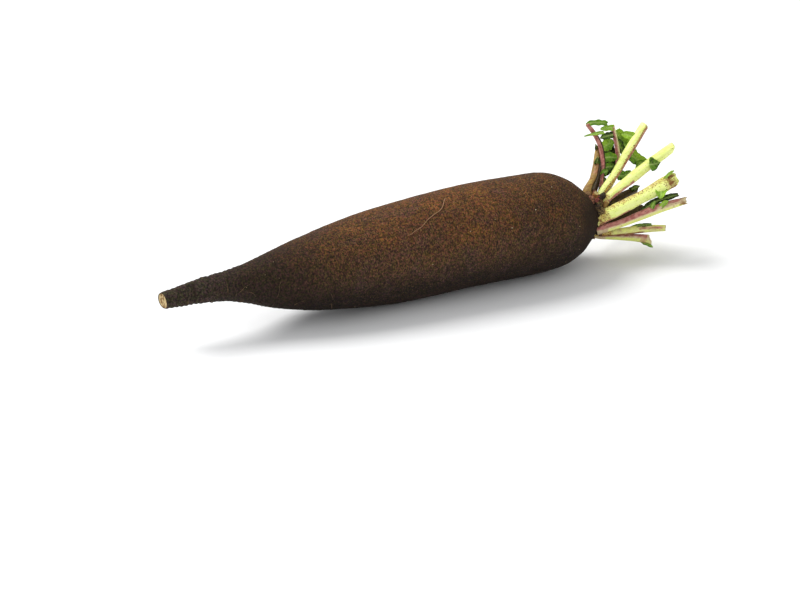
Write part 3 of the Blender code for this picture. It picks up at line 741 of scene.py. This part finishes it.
# A stalk's route starts inside the crown: out, to the side and up from the crown's middle. Its
# widths are spaced evenly from foot to tip, and its cut leans by two slopes. Torn is how far its
# tip is crumpled, hollow how deep.
Stalk = namedtuple("Stalk", "route widths flatness cut ragged torn hollow slot")
SQUARE = (0.0, 0.0)
STALKS = (
    ("stalk_01", ((0.3, 1, 9), (1.7, 3, 12.9), (7.5, 6.9, 17.2), (12, 11.8, 22.1), (16.7, 18.3, 29.7)),
     (7.6, 5.2, 4.8, 4.2, 2.8), 0.8, (0.2, 0), 0.4, 0.3, 0.3, "dry"),
    ("stalk_02", ((6.4, 2.4, 5.4), (10.2, 4.2, 11.2), (14, 8, 21.3), (15.4, 11.8, 27.6),
      (14.9, 14.3, 33), (12.7, 17.2, 38.5), (10.2, 19.8, 42.5)),
     (2.4, 2.4, 2.7, 3, 2.4), 0.9, SQUARE, 0.2, 0.1, 0.2, "purple"),
    ("stalk_03", ((6.6, 1.6, 1.6), (14.4, 4.8, 8), (22.6, 8.4, 17), (25.1, 11.6, 25.8), (25.3, 18.5, 40)),
     (2.6, 2.8, 2.9, 2.9, 2.6), 0.85, SQUARE, 0.2, 0.1, 0.2, "purple"),
    ("stalk_04", ((4.4, -0.8, 7.8), (10.5, 0.9, 13), (17.3, 2.8, 18), (26.3, 5.7, 26.9), (39.7, 9.9, 40)),
     (3.8, 4.6, 5.3, 5.6, 5.3), 0.9, (-0.15, 0), 0.25, 0.1, 0.3, "pale"),
    ("stalk_05", ((5.2, -3.6, 5.4), (11.2, -3.4, 10.2), (20.5, -3, 15.2),
      (33.2, -2, 21.5), (49.6, -0.6, 28.8)),
     (4.4, 5.4, 6.4, 6.2, 5.8), 0.85, (-1, 0), 0.3, 0.1, 0.3, "pale"),
    ("stalk_06", ((-0.4, -8.6, 0.6), (2.6, -9.8, 2.2), (15.3, -11.6, 6.7),
      (34.5, -14.6, 14.9), (43.4, -15.4, 19)),
     (7.6, 7.2, 6.9, 6.7, 8, 7.4), 0.72, (0.1, -0.2), 0.8, 0.8, 2.2, "pale"),
    ("stalk_07", ((-0.6, -10.4, -4.6), (1.8, -11.6, -3.7), (11.2, -14, -1.5),
      (31.9, -19.2, 5.2), (46.2, -21.8, 7.9)),
     (4.6, 4.2, 4.8, 5, 3.6), 0.85, (-0.1, 0), 0.8, 0.5, 1.2, "purple"),
    ("stalk_08", ((-0.4, -7.4, -7.2), (5.1, -8.8, -7.8), (16.2, -11.6, -7.5),
      (26.8, -14.4, -7.2), (37.7, -16.9, -7.9)),
     (3.6, 4, 4.7, 4.4, 3.8), 0.8, SQUARE, 0.3, 0.1, 0.3, "purple"),
    ("stalk_09", ((-0.4, -3.6, -9), (4.8, -5.4, -10.8), (15.1, -9, -11.6),
      (25.2, -12.4, -12.8), (30.6, -14.5, -14.2)),
     (2.8, 3, 3.9, 4.8, 6.4), 0.85, (-0.2, 0.55), 0.4, 0.4, 0.6, "purple"),
    ("stalk_10", ((5.4, 4.4, -1.4), (13.9, 5.6, 0.5), (24.3, 7.2, 2.3), (36.3, 9.2, 4.8)),
     (3.6, 5.2, 5.8, 4.4), 0.85, (0.1, 0), 0.4, 0.3, 0.4, "olive"),
    ("stalk_11", ((2.6, 1.4, -7.6), (13, 2, -7.9), (25.8, 3.4, -5.5), (38.4, 5, -4.3)),
     (3.4, 3.8, 4, 3.4), 0.85, (-0.2, 0), 0.4, 0.3, 0.4, "olive"),
    ("stalk_12", ((3, 5.6, 5.6), (9.3, 8.4, 9), (14.8, 13, 14.7), (19, 17.9, 20.4), (21.3, 21.2, 25.2)),
     (4.4, 3.6, 3, 2.6), 0.85, (0.3, 0), 0.4, 0.4, 0.4, "dry"),
    ("stalk_13", ((0.2, 9.4, -2.6), (6, 11.6, -3.4), (16, 16, -3.6), (27, 19.6, -2.2)),
     (5, 4, 3.8, 3.4), 0.85, (0.2, 0), 0.5, 0.2, 0.3, "pale"),
    ("stub_01", ((1.4, -2.4, 8.2), (1.6, -3.2, 10.8), (2.4, -4, 13.6)),
     (4.4, 3.8, 3), 0.8, (0.4, 0), 0.3, 0.5, 0.5, "dry"),
    ("stub_02", ((3, -4.8, 3.2), (5.4, -6.4, 6.2), (7.4, -7.1, 9.2)),
     (4, 3.4, 2.6), 0.75, (0.3, 0), 0.3, 0.5, 0.5, "dry"),
)

# Flushes of colour: the part of the length that each covers from foot to tip, its strength, and,
# unless it goes all round, its side of the stalk and half the turn that it covers in degrees.
ABOVE = (0.19, 0.38, 0.91)
BELOW = (-0.19, -0.38, -0.91)
LEFT = (-0.89, 0.45, 0.0)
RIGHT = (0.89, -0.45, 0.0)
FRONT = (-0.41, -0.81, 0.42)
FLUSH_COLOURS = ("cream", "ochre", "plum", "brown", "lime", "painted_shade")
FLUSH_SOFTNESS = 38
FLUSH_FADE = 0.06
Flush = namedtuple("Flush", "colour start end strength towards turn", defaults=(None, 180))
# The darkest brown flushes paint shade: on the sides of stalk_01 and stalk_02 turned from the key, round
# stalk_02's foot, and all over stalk_10, stalk_11 and stalk_12, which lie in shade behind the others. The
# brown towards the right of stalk_01 and stalk_12 is their own brown darkened as painted shade too.
FLUSHES = {
    "stalk_01": (
        ("ochre", 0, 1, 0.42), ("brown", 0, 1, 0.5, RIGHT, 85),
        ("painted_shade", 0.1, 0.8, 0.75, RIGHT, 62), ("plum", 0.4, 0.65, 0.45, FRONT, 45)),
    "stalk_02": (
        ("plum", 0, 1, 0.85), ("painted_shade", 0.25, 0.82, 0.75, RIGHT, 75), ("painted_shade", 0, 0.2, 0.7)),
    "stalk_03": (("plum", 0, 1, 0.8, LEFT, 95), ("cream", 0, 1, 0.8, RIGHT, 66)),
    "stalk_04": (
        ("ochre", 0, 1, 0.9, RIGHT, 74), ("plum", 0.3, 1, 0.75, RIGHT, 60), ("brown", 0, 0.07, 0.8),
        ("lime", 0.1, 1, 0.5, LEFT, 95)),
    "stalk_05": (
        ("plum", 0, 0.45, 0.75, BELOW, 80), ("ochre", 0.4, 0.95, 0.7, BELOW, 50),
        ("ochre", 0, 0.16, 0.65), ("lime", 0.35, 1, 0.4)),
    "stalk_06": (
        ("ochre", 0.05, 0.95, 0.68, ABOVE, 62), ("brown", 0.1, 0.9, 0.42, ABOVE, 50),
        ("plum", 0, 0.4, 0.7, BELOW, 50), ("ochre", 0, 0.16, 0.75), ("brown", 0, 0.06, 0.6),
        ("ochre", 0.82, 1, 0.6), ("brown", 0.86, 1, 0.56), ("lime", 0.8, 1, 0.9, ABOVE, 50)),
    "stalk_07": (
        ("plum", 0, 0.68, 0.75, ABOVE, 105), ("plum", 0.62, 0.94, 0.72, ABOVE, 80),
        ("ochre", 0.6, 0.95, 0.4, ABOVE, 40), ("cream", 0.1, 0.98, 0.7, BELOW, 85),
        ("lime", 0.1, 1, 0.75, BELOW, 66), ("brown", 0.91, 1, 0.62)),
    "stalk_08": (
        ("lime", 0, 1, 0.66), ("cream", 0.2, 1, 0.42, FRONT, 90), ("plum", 0.6, 0.97, 0.6, FRONT, 28),
        ("plum", 0.3, 0.98, 0.75, ABOVE, 34), ("ochre", 0, 0.25, 0.85),
        ("brown", 0.05, 0.7, 0.75, BELOW, 50)),
    "stalk_09": (
        ("plum", 0.1, 0.95, 0.7, ABOVE, 88), ("plum", 0.8, 0.97, 0.45),
        ("lime", 0.25, 1, 0.8, BELOW, 80), ("brown", 0.05, 0.75, 0.85, ABOVE, 42)),
    "stalk_10": (("plum", 0.3, 1, 0.6, BELOW, 50), ("painted_shade", 0, 1, 0.62)),
    "stalk_11": (("plum", 0.2, 1, 0.5, BELOW, 60), ("painted_shade", 0, 1, 0.62)),
    "stalk_12": (("brown", 0, 1, 0.7, RIGHT, 90), ("painted_shade", 0, 0.9, 0.9)),
    "stalk_13": (
        ("plum", 0, 0.8, 0.8, BELOW, 70), ("lime", 0.2, 1, 0.6, ABOVE, 90), ("brown", 0, 0.2, 0.7)),
    "stub_01": (("brown", 0.2, 1, 0.6),),
    "stub_02": (("brown", 0.3, 1, 0.5),),
}

# By the record's slot: two colours that a stalk's streaks run between, and its shine.
STREAKS = {
    "pale": ((0.88, 0.94, 0.35), (0.80, 0.89, 0.24), 0.25),
    "purple": ((0.64, 0.54, 0.31), (0.52, 0.37, 0.22), 0.18),
    # The olive stalks lie in shade behind the others: their olive green is darkened into painted shade.
    "olive": ((0.13, 0.12, 0.035), (0.055, 0.045, 0.02), 0.05),
    "dry": ((0.32, 0.21, 0.065), (0.22, 0.125, 0.046), 0.08),
}
PLUM = (0.52, 0.22, 0.18)
DARK_PLUM = (0.33, 0.105, 0.088)
OCHRE = (0.54, 0.39, 0.085)
CREAM = (0.82, 0.72, 0.37)
PAINTED_SHADE_BROWN = (0.048, 0.031, 0.013)
SCORCHED = (0.22, 0.09, 0.025)
RIPE_LIME = (0.72, 0.82, 0.17)
CUT_TAN = (0.5, 0.42, 0.2)
BUNDLE_GREEN = (0.22, 0.24, 0.07)


def from_crown(places):
    """A route measured from the crown's middle, and its length."""
    route = [Vector((TAIL_X + CROWN_AT, 0, AXIS_HEIGHT)) + Vector(place) for place in places]
    return route, sum((b - a).length for a, b in zip(route, route[1:]))


def flush_strength(flushes, colour, outward, ahead, t):
    """How strongly a colour shows on the side of the stalk that faces outward, at t along it."""
    found = 0.0
    for flush in [flush for flush in flushes if flush.colour == colour]:
        along = ease((t - flush.start) / FLUSH_FADE + 0.5) * ease((flush.end - t) / FLUSH_FADE + 0.5)
        around = 1.0
        if flush.towards:
            towards = Vector(flush.towards)
            towards = (towards - towards.dot(ahead) * ahead).normalized()
            turn = math.degrees(math.acos(max(-1.0, min(1.0, outward.dot(towards)))))
            around = ease((flush.turn - turn) / FLUSH_SOFTNESS + 0.5)
        found = max(found, flush.strength * along * around)
    return found


def stalk_body(number, stalk, flushes):
    """Points of the stalk ring by ring, closed by its cut face, and the colour marks on them."""
    route, length = from_crown(stalk.route)
    rings = round(length / STALK_STEP)
    centres = curve_points(route, rings)
    along = tangents(centres)
    stations = [(k / (len(stalk.widths) - 1), width) for k, width in enumerate(stalk.widths)]
    tip = stalk.route[-1]
    across = Vector((1, 0, 0)).cross(Vector((0, tip[1], tip[2]))).normalized()
    seed = 10.0 * number

    def swell(x, y, angle, t, at_tip):
        """Ribs and unevenness all along, and crumpling at the tip."""
        ribbed = 1 + RIB_HEIGHT * math.cos(RIBS * angle + seed) * (0.6 + 0.4 * math.sin(9 * t + seed))
        ribbed += UNEVENNESS * noise.noise(Vector((x * 1.5, y * 1.5, t * length / 7 + seed)))
        crumple = noise.noise(Vector((x * 2.6, y * 2.6, t * length / 5 + seed)))
        return ribbed + CRUMPLE * stalk.torn * at_tip * crumple

    def cut_lean(x, y, angle, half, share):
        """How far the cut's slope and rags push a place of it out."""
        rough = math.sin(2 * angle + 18 * half) + 0.6 * math.sin(5 * angle + 8 * half)
        rough += 0.8 * noise.noise(Vector((x * 3, y * 3, seed)))
        slope = (stalk.cut[0] * y * stalk.flatness + stalk.cut[1] * x) * half
        return (slope + stalk.ragged * rough / 1.6) * share

    def sunk(x, y, share):
        """How far the pith inside the cut's rim lies back."""
        pith = noise.noise(Vector((x * share * 4, y * share * 4, seed)))
        return stalk.hollow * (1 - share**2) + PITH_HEIGHT * pith if share < 1 else 0.0

    points = []
    marks = {mark: [] for mark in (*FLUSH_COLOURS, "cut", "bundle")}
    for r, share in [(r, 1.0) for r in range(rings)] + [(rings - 1, share) for share in FACE_SHARES]:
        ahead, t = along[r], r / (rings - 1)
        half = smooth_value(stations, t, 1) / 2
        side = (across - across.dot(ahead) * ahead).normalized()
        inner = ahead.cross(side)
        at_tip = max(0.0, (t - 1 + TIP_PART) / TIP_PART)
        for k in range(STALK_SIDES):
            angle = math.tau * k / STALK_SIDES
            x, y = math.cos(angle), math.sin(angle)
            outward = (side * x + inner * y).normalized()
            reach = half * swell(x, y, angle, t, at_tip) * share
            if y > 0:
                y *= 1 - GROOVE * (1 - x * x)
            lean = cut_lean(x, y, angle, half, share) * at_tip - sunk(x, y, share)
            points.append(centres[r] + (side * x + inner * y * stalk.flatness) * reach + ahead * lean)
            for colour in FLUSH_COLOURS:
                marks[colour].append(flush_strength(flushes, colour, outward, ahead, t))
            marks["cut"].append(ease((1 - share) / CUT_RIM))
            marks["bundle"].append(1.0 if share == BUNDLE_SHARE and k % BUNDLE_EVERY == 0 else 0.0)
    return points, tube_faces(rings + len(FACE_SHARES), STALK_SIDES), marks


def stalk_finish(slot):
    pale, deep, shine = STREAKS[slot]
    stalk = Finish(slot + "_stalk", shine, pale)
    streaks = stalk.noise(1.3, 4, (0.35, 1, 0.7))
    blots = stalk.noise(2.6, 4)
    fine = stalk.noise(0.6, 3)
    uneven = stalk.plus(stalk.times(blots, 0.9), -0.45)

    def shows(mark, low, high, most=1.0):
        return stalk.between(stalk.plus(stalk.mark(mark), uneven), low, high, most)

    stalk.coat(stalk.between(streaks, 0.35, 0.65), deep)
    stalk.coat(shows("cream", 0.3, 0.8, 0.8), CREAM)
    stalk.coat(shows("lime", 0.3, 0.9, 0.8), RIPE_LIME)
    stalk.coat(shows("ochre", 0.35, 0.95), OCHRE)
    stalk.coat(shows("plum", 0.25, 0.75), stalk.blend(stalk.between(streaks, 0.4, 0.62), PLUM, DARK_PLUM))
    stalk.coat(shows("brown", 0.4, 0.7), SCORCHED)
    dots = stalk.plus(fine, stalk.times(stalk.mark("ochre"), 0.17))
    stalk.coat(stalk.between(dots, 0.63, 0.71), SCORCHED)
    # Painted shade: dark brown on stalk sides turned from the light and on stalks lying in shade.
    stalk.coat(shows("painted_shade", 0.3, 0.6), PAINTED_SHADE_BROWN)
    stalk.coat(stalk.mark("cut"), stalk.blend(stalk.between(fine, 0.45, 0.65), pale, CUT_TAN))
    stalk.coat(stalk.mark("bundle"), BUNDLE_GREEN)
    return stalk.done(stalk.between(blots, -0.3, 1.5), stalk.bump(fine, 0.08, stalk.bump(streaks, 0.25)))


stalk_finishes = {slot: stalk_finish(slot) for slot in STREAKS}
for number, (name, *row) in enumerate(STALKS):
    stalk = Stalk(*row)
    points, faces, marks = stalk_body(number, stalk, [Flush(*flush) for flush in FLUSHES[name]])
    made = new_piece(name + "_ribbed", points, faces, stalk_finishes[stalk.slot], marks)
    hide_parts(name)


# The scraps of leaf
# What is left of the blades on the cut stalks: thin, lobed, toothed and waved, with a raised
# midrib and side veins. Each grows from the edge of its stalk.
LEAF_STEP = 0.4
LEAF_COLUMNS = 22
LEAF_THICKNESS = 0.8
LEAF_EDGE = 0.35
LEAF_CUP = 0.3
LEAF_CRUMPLE = 0.45
LEAF_LEAST = 0.3
LEAF_TEETH = ((0.07, 0.9, 5), (0.14, 2.5, 9))
VEIN_PITCH = 2.3
VEIN_HEIGHT = 0.16
MIDRIB_HALF_WIDTH, MIDRIB_HEIGHT = 0.42, 0.2

# A scrap's ends say where on a swelling curve, 0 to 1, its width starts and stops. The tones of its two
# edges run from 0, nearly black green, to 1, lime: over the leaves' own greens they paint light and shade,
# one edge lit and the other shaded, and scraps in shade nearly black. It faces the viewer if no other way
# is named.
TO_VIEWER = (-0.41, -0.81, 0.42)
UPWARDS = (-0.2, -0.45, 0.87)
FAR_SIDE = (-0.3, 0.5, 0.8)
Leaf = namedtuple("Leaf", "route half_width lobes depth wave ends tones facing", defaults=(TO_VIEWER,))
LEAFLET = (0.12, 1.0)
RIBBON = (0.2, 0.8)
FLAP = (0.45, 1.0)
LEAF_TAPER, FLAP_TAPER = 0.6, 1.5
LEAVES = (
    ("leaf_01a", ((15.9, 17.3, 28.2), (14.4, 16.2, 29.9), (13.8, 16.1, 31.8)),
     1.1, 1, 0.2, 0.2, LEAFLET, (0.05, 0.05)),
    ("leaf_01b", ((12, 11.4, 22.3), (11, 9.7, 25), (10.9, 9.2, 27.6)),
     1.7, 1, 0.2, 0.2, LEAFLET, (0.1, 0.05)),
    ("leaf_02a", ((9.9, 19.6, 41.9), (11.6, 19, 43), (15.3, 18.3, 42.9),
      (19.6, 18.7, 42), (22.7, 19.6, 40.6)),
     1.7, 3, 0.25, 0.2, RIBBON, (0.6, 0.45)),
    ("leaf_02b", ((17.6, 14.6, 38.2), (12, 14.9, 38.2), (6.2, 15.6, 37.8)),
     1.1, 1, 0.1, 0.1, (0.4, 1), (0.9, 0.75), UPWARDS),
    ("leaf_02c", ((15.6, 12.6, 30), (18, 13.4, 31), (21, 14.5, 31.7), (22.6, 15.6, 33.6)),
     3.4, 3, 0.2, 0.35, (0.2, 0.95), (1, 0.55)),
    ("leaf_02d", ((15.3, 10.6, 25.7), (18.8, 10, 25.9), (23, 9.2, 25)),
     2.8, 3, 0.2, 0.35, (0.25, 0.95), (0.6, 0.35)),
    ("leaf_02e", ((14.4, 8.8, 20.8), (17.6, 8.1, 21.4), (20.4, 7.9, 21.2)),
     2.5, 2, 0.25, 0.35, (0.25, 0.95), (0.35, 0.15)),
    ("leaf_02f", ((13.2, 7.2, 17.8), (12.8, 5.4, 20), (14.8, 4.8, 20.8)),
     1.9, 2, 0.25, 0.25, LEAFLET, (0.45, 0.3)),
    ("leaf_02g", ((12.4, 5.6, 14.4), (13.7, 6.6, 15.2), (15.2, 7.6, 15.8)),
     1.6, 1, 0.2, 0.2, (0.25, 1), (0.12, 0.05)),
    ("leaf_03a", ((26.5, 17.4, 36.8), (28.9, 16.6, 33.2), (32.1, 15, 28),
      (34.2, 13.2, 24), (37.9, 11.2, 20.7), (42.8, 9, 19.1)),
     4.2, 3, 0.16, 0.4, (0.2, 0.94), (1.3, 0.05)),
    ("leaf_03b", ((24, 15.6, 35.7), (19.8, 15.2, 35.7), (15.8, 14.8, 35.5)),
     2.1, 3, 0.2, 0.3, (0.25, 0.95), (0.2, 0.1)),
    ("leaf_03c", ((25.2, 17.2, 38.9), (20.7, 16.6, 39.5), (16.7, 16.4, 39.8)),
     1.7, 2, 0.2, 0.3, (0.3, 0.9), (1.15, 0.85)),
    ("leaf_03d", ((26, 14.6, 32.6), (27.7, 13.3, 28.7), (29.5, 11.9, 24.6)),
     2.5, 2, 0.2, 0.3, (0.25, 0.97), (0.15, 0.05)),
    ("leaf_04a", ((18.9, 3, 18.4), (24.7, 4.6, 16.3), (29.7, 5.4, 17.7)),
     3, 3, 0.25, 0.4, (0.25, 1), (0.5, 0.4)),
    ("leaf_04b", ((32.3, 8.7, 34.9), (30.4, 10.6, 36.1), (27.6, 13, 36.3)),
     2.4, 2, 0.15, 0.2, (0.3, 0.97), (1.15, 1)),
    ("leaf_05a", ((33.7, -5.4, 24.3), (36.7, -5.4, 24.1), (41, -4.6, 24)),
     3.6, 1, 0, 0.2, FLAP, (0.35, 0.25)),
    ("leaf_05b", ((35, -0.6, 22.2), (32.9, 2.2, 22.8), (31.5, 3.2, 19.6)),
     1.8, 1, 0.15, 0.2, (0.3, 0.9), (0.6, 0.5)),
    ("leaf_06a", ((34.6, -15.4, 14.6), (32.5, -18.4, 13.3), (31, -20.4, 11.2)),
     3.3, 1, 0.15, 0.3, (0.35, 0.95), (0.85, 0.75), UPWARDS),
    ("leaf_06b", ((36.5, -14, 17.2), (38.4, -15.6, 21.4), (42.2, -15.1, 22.8)),
     0.9, 2, 0.2, 0.1, (0.3, 0.9), (1.5, 1.4)),
    ("leaf_07a", ((27.1, -19, 5.8), (27, -20, 8.4), (28, -20, 10.2)),
     1.3, 2, 0.2, 0.2, LEAFLET, (0.5, 0.35)),
    ("leaf_07b", ((31.3, -20.2, 5.6), (32.6, -21.2, 8.2), (35.6, -21.2, 9.2)),
     1.5, 2, 0.2, 0.2, LEAFLET, (1, 0.8)),
    # Its nearly black tones paint the shade along the top of stalk_07.
    ("leaf_07c", ((23, -16.6, 4.2), (30.5, -16.8, 7.8), (37.3, -17.8, 9.4), (43.4, -19, 10.4)),
     2.1, 2, 0.15, 0.3, (0.28, 0.87), (0, -0.25), UPWARDS),
    ("leaf_08a", ((17.2, -12.2, -6.6), (22.8, -13.9, -5), (30, -15.7, -5.1)),
     1.1, 2, 0.15, 0.2, RIBBON, (0.3, 0.1), UPWARDS),
    ("leaf_09a", ((25.8, -13.4, -15), (28, -15.6, -16), (30.6, -17.2, -17.3)),
     1.2, 2, 0.2, 0.2, LEAFLET, (0.6, 0.4), UPWARDS),
    ("leaf_10a", ((31.6, 8.6, 5), (32.6, 6, 7.4), (35.4, 4.6, 8.6)),
     1.7, 2, 0.25, 0.3, LEAFLET, (0.15, 0.05)),
    ("leaf_10b", ((19, 6.8, 2.6), (21.6, 11.4, 4.4), (25.4, 15.6, 4.2), (30, 18, 2.6)),
     2.4, 4, 0.35, 0.4, LEAFLET, (0.5, 0.3), FAR_SIDE),
    # A broad blade behind the small scraps, laid nearly black as painted shade.
    ("leaf_12a", ((15.8, 13.9, 15.6), (21.4, 17, 15.9), (25.3, 19.5, 20),
      (25.6, 21.5, 26.1), (23.1, 22.5, 32.4)),
     4.5, 4, 0.2, 0.4, (0.04, 1), (0.1, 0)),
    ("leaf_13a", ((14, 15.2, -3.6), (18, 19.4, -1.6), (24, 22.6, -1.4), (30, 24, -2.8)),
     2.2, 4, 0.35, 0.35, LEAFLET, (0.6, 0.4), FAR_SIDE),
)
LEAF_DEEP_AND_SHADE = (0.02, 0.036, 0.007)
LEAF_GREEN = (0.12, 0.27, 0.016)
LEAF_LIME = (0.31, 0.51, 0.04)
LEAF_VEIN = (0.5, 0.66, 0.2)


def leaf_body(number, leaf):
    """Points of the scrap, and marks for its veins and for its tone, which also paints light and shade."""
    route, length = from_crown(leaf.route)
    rows = round(length / LEAF_STEP) + 1
    seed = 10.0 * number + 3

    def half_width(t, v):
        foot, tip = leaf.ends
        taper = FLAP_TAPER if leaf.ends == FLAP else LEAF_TAPER
        swell = max(0.0, math.sin(math.pi * (foot + (tip - foot) * t))) ** taper
        lobes = 1 - leaf.depth * (0.5 + 0.5 * math.cos(math.tau * leaf.lobes * t + 0.6))
        side = 1.0 if v > 0 else -1.0
        teeth = 0.0
        for height, pitch, row in LEAF_TEETH:
            teeth += height * noise.noise(Vector((t * length / pitch, side * row, seed)))
        return max(LEAF_LEAST, leaf.half_width * swell * lobes * (1 + teeth * abs(v)))

    def side_vein(t, v, wide):
        phase = t * length / VEIN_PITCH - abs(v) * wide / VEIN_PITCH * 0.9 + (0.5 if v > 0 else 0.0)
        return 0.5 + 0.5 * math.cos(math.tau * phase)

    def midrib(v, wide):
        return math.exp(-((v * wide / MIDRIB_HALF_WIDTH) ** 2))

    def thickness(t, v):
        return LEAF_EDGE + (LEAF_THICKNESS - LEAF_EDGE) * (1 - v * v) * (1 - 0.4 * t)

    def lift(t, v, wide):
        rise = LEAF_CUP * wide * v * v
        rise += leaf.wave * abs(v) * math.sin(math.tau * leaf.lobes * t + (1.3 if v > 0 else 3.0))
        rise += LEAF_CRUMPLE * abs(v) * noise.noise(Vector((t * length / 1.7, v * 2, seed + 4)))
        rise -= VEIN_HEIGHT * side_vein(t, v, wide) ** 3 * (1 - v * v)
        return rise - MIDRIB_HEIGHT * midrib(v, wide)

    centres = curve_points(route, rows)
    facing = Vector(leaf.facing)
    points, place = sheet_points(centres, facing, half_width, thickness, lift, LEAF_COLUMNS)
    veins, tones = [], []
    for t, v in place:
        wide = half_width(t, v)
        veins.append(max(midrib(v, wide) * (1 - 0.5 * t), 0.45 * side_vein(t, v, wide) ** 5 * (1 - abs(v))))
        tone = leaf.tones[0] + (leaf.tones[1] - leaf.tones[0]) * (v + 1) / 2
        tones.append(tone + 0.25 * noise.noise(Vector((t * length / 4, v * 1.5, seed + 7))))
    return points, sheet_faces(rows, LEAF_COLUMNS), {"vein": veins, "tone": tones}


def leaf_finish():
    leaf = Finish("leaf_green", 0.12, LEAF_DEEP_AND_SHADE)
    blots = leaf.noise(1.6, 4)
    fine = leaf.noise(0.45, 3)
    tone = leaf.plus(leaf.mark("tone"), leaf.times(leaf.plus(blots, -0.5), 1.1))
    # Painted light and shade with the leaf's own greens: nearly black green where the tone mark is low,
    # lime where it is high.
    leaf.coat(leaf.between(tone, 0.0, 0.5), LEAF_GREEN)
    leaf.coat(leaf.between(tone, 0.4, 1.1), LEAF_LIME)
    leaf.coat(leaf.times(leaf.mark("vein"), 0.75), LEAF_VEIN)
    leaf.coat(leaf.between(fine, 0.55, 0.35, 0.35), LEAF_DEEP_AND_SHADE)
    return leaf.done(leaf.between(fine, -0.5, 1.4), leaf.bump(fine, 0.1, leaf.bump(blots, 0.3)))


green = leaf_finish()
for number, (name, *row) in enumerate(LEAVES):
    points, faces, marks = leaf_body(number, Leaf(*row))
    made = new_piece(name + "_veined", points, faces, green, marks)
    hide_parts(name)


# The table and the light
# A wide pale floor and soft studio light: a broad key from above and the left, and a weak fill.
FLOOR_HALF = 30.0
FLOOR_DROP = 0.0003
FLOOR_WHITE = (0.86, 0.86, 0.86)
FLOOR_SHADE = (0.847, 0.847, 0.847)
KEY_TURN = (-32, -28, 0)
KEY_ANGLE = 34
KEY_STRENGTH = 2.9
FILL_COLOUR = (0.98, 0.99, 1.0)
FILL_STRENGTH = 0.80


def make_floor():
    mesh = bpy.data.meshes.new("floor")
    signs = ((-1, -1), (1, -1), (1, 1), (-1, 1))
    corners = [(x * FLOOR_HALF, y * FLOOR_HALF, -FLOOR_DROP) for x, y in signs]
    mesh.from_pydata(corners, [], [(0, 1, 2, 3)])
    paper = Finish("pale_paper", 0.1, FLOOR_WHITE)
    fibres = paper.noise(4, 2)
    paper.coat(fibres, FLOOR_SHADE)
    mesh.materials.append(paper.done(paper.between(fibres, -8, 1), paper.bump(fibres, 0.02)))
    made = in_scene("floor", mesh)


def make_light():
    key = in_scene("key", bpy.data.lights.new("key", "SUN"))
    key.data.energy = KEY_STRENGTH
    key.data.angle = math.radians(KEY_ANGLE)
    key.rotation_euler = [math.radians(a) for a in KEY_TURN]
    world = bpy.data.worlds.new("studio")
    bpy.context.scene.world = world
    world.use_nodes = True
    fill = world.node_tree.nodes["Background"]
    fill.inputs["Color"].default_value = (*FILL_COLOUR, 1.0)
    fill.inputs["Strength"].default_value = FILL_STRENGTH
    bpy.context.scene.view_settings.view_transform = "Standard"


make_floor()
make_light()
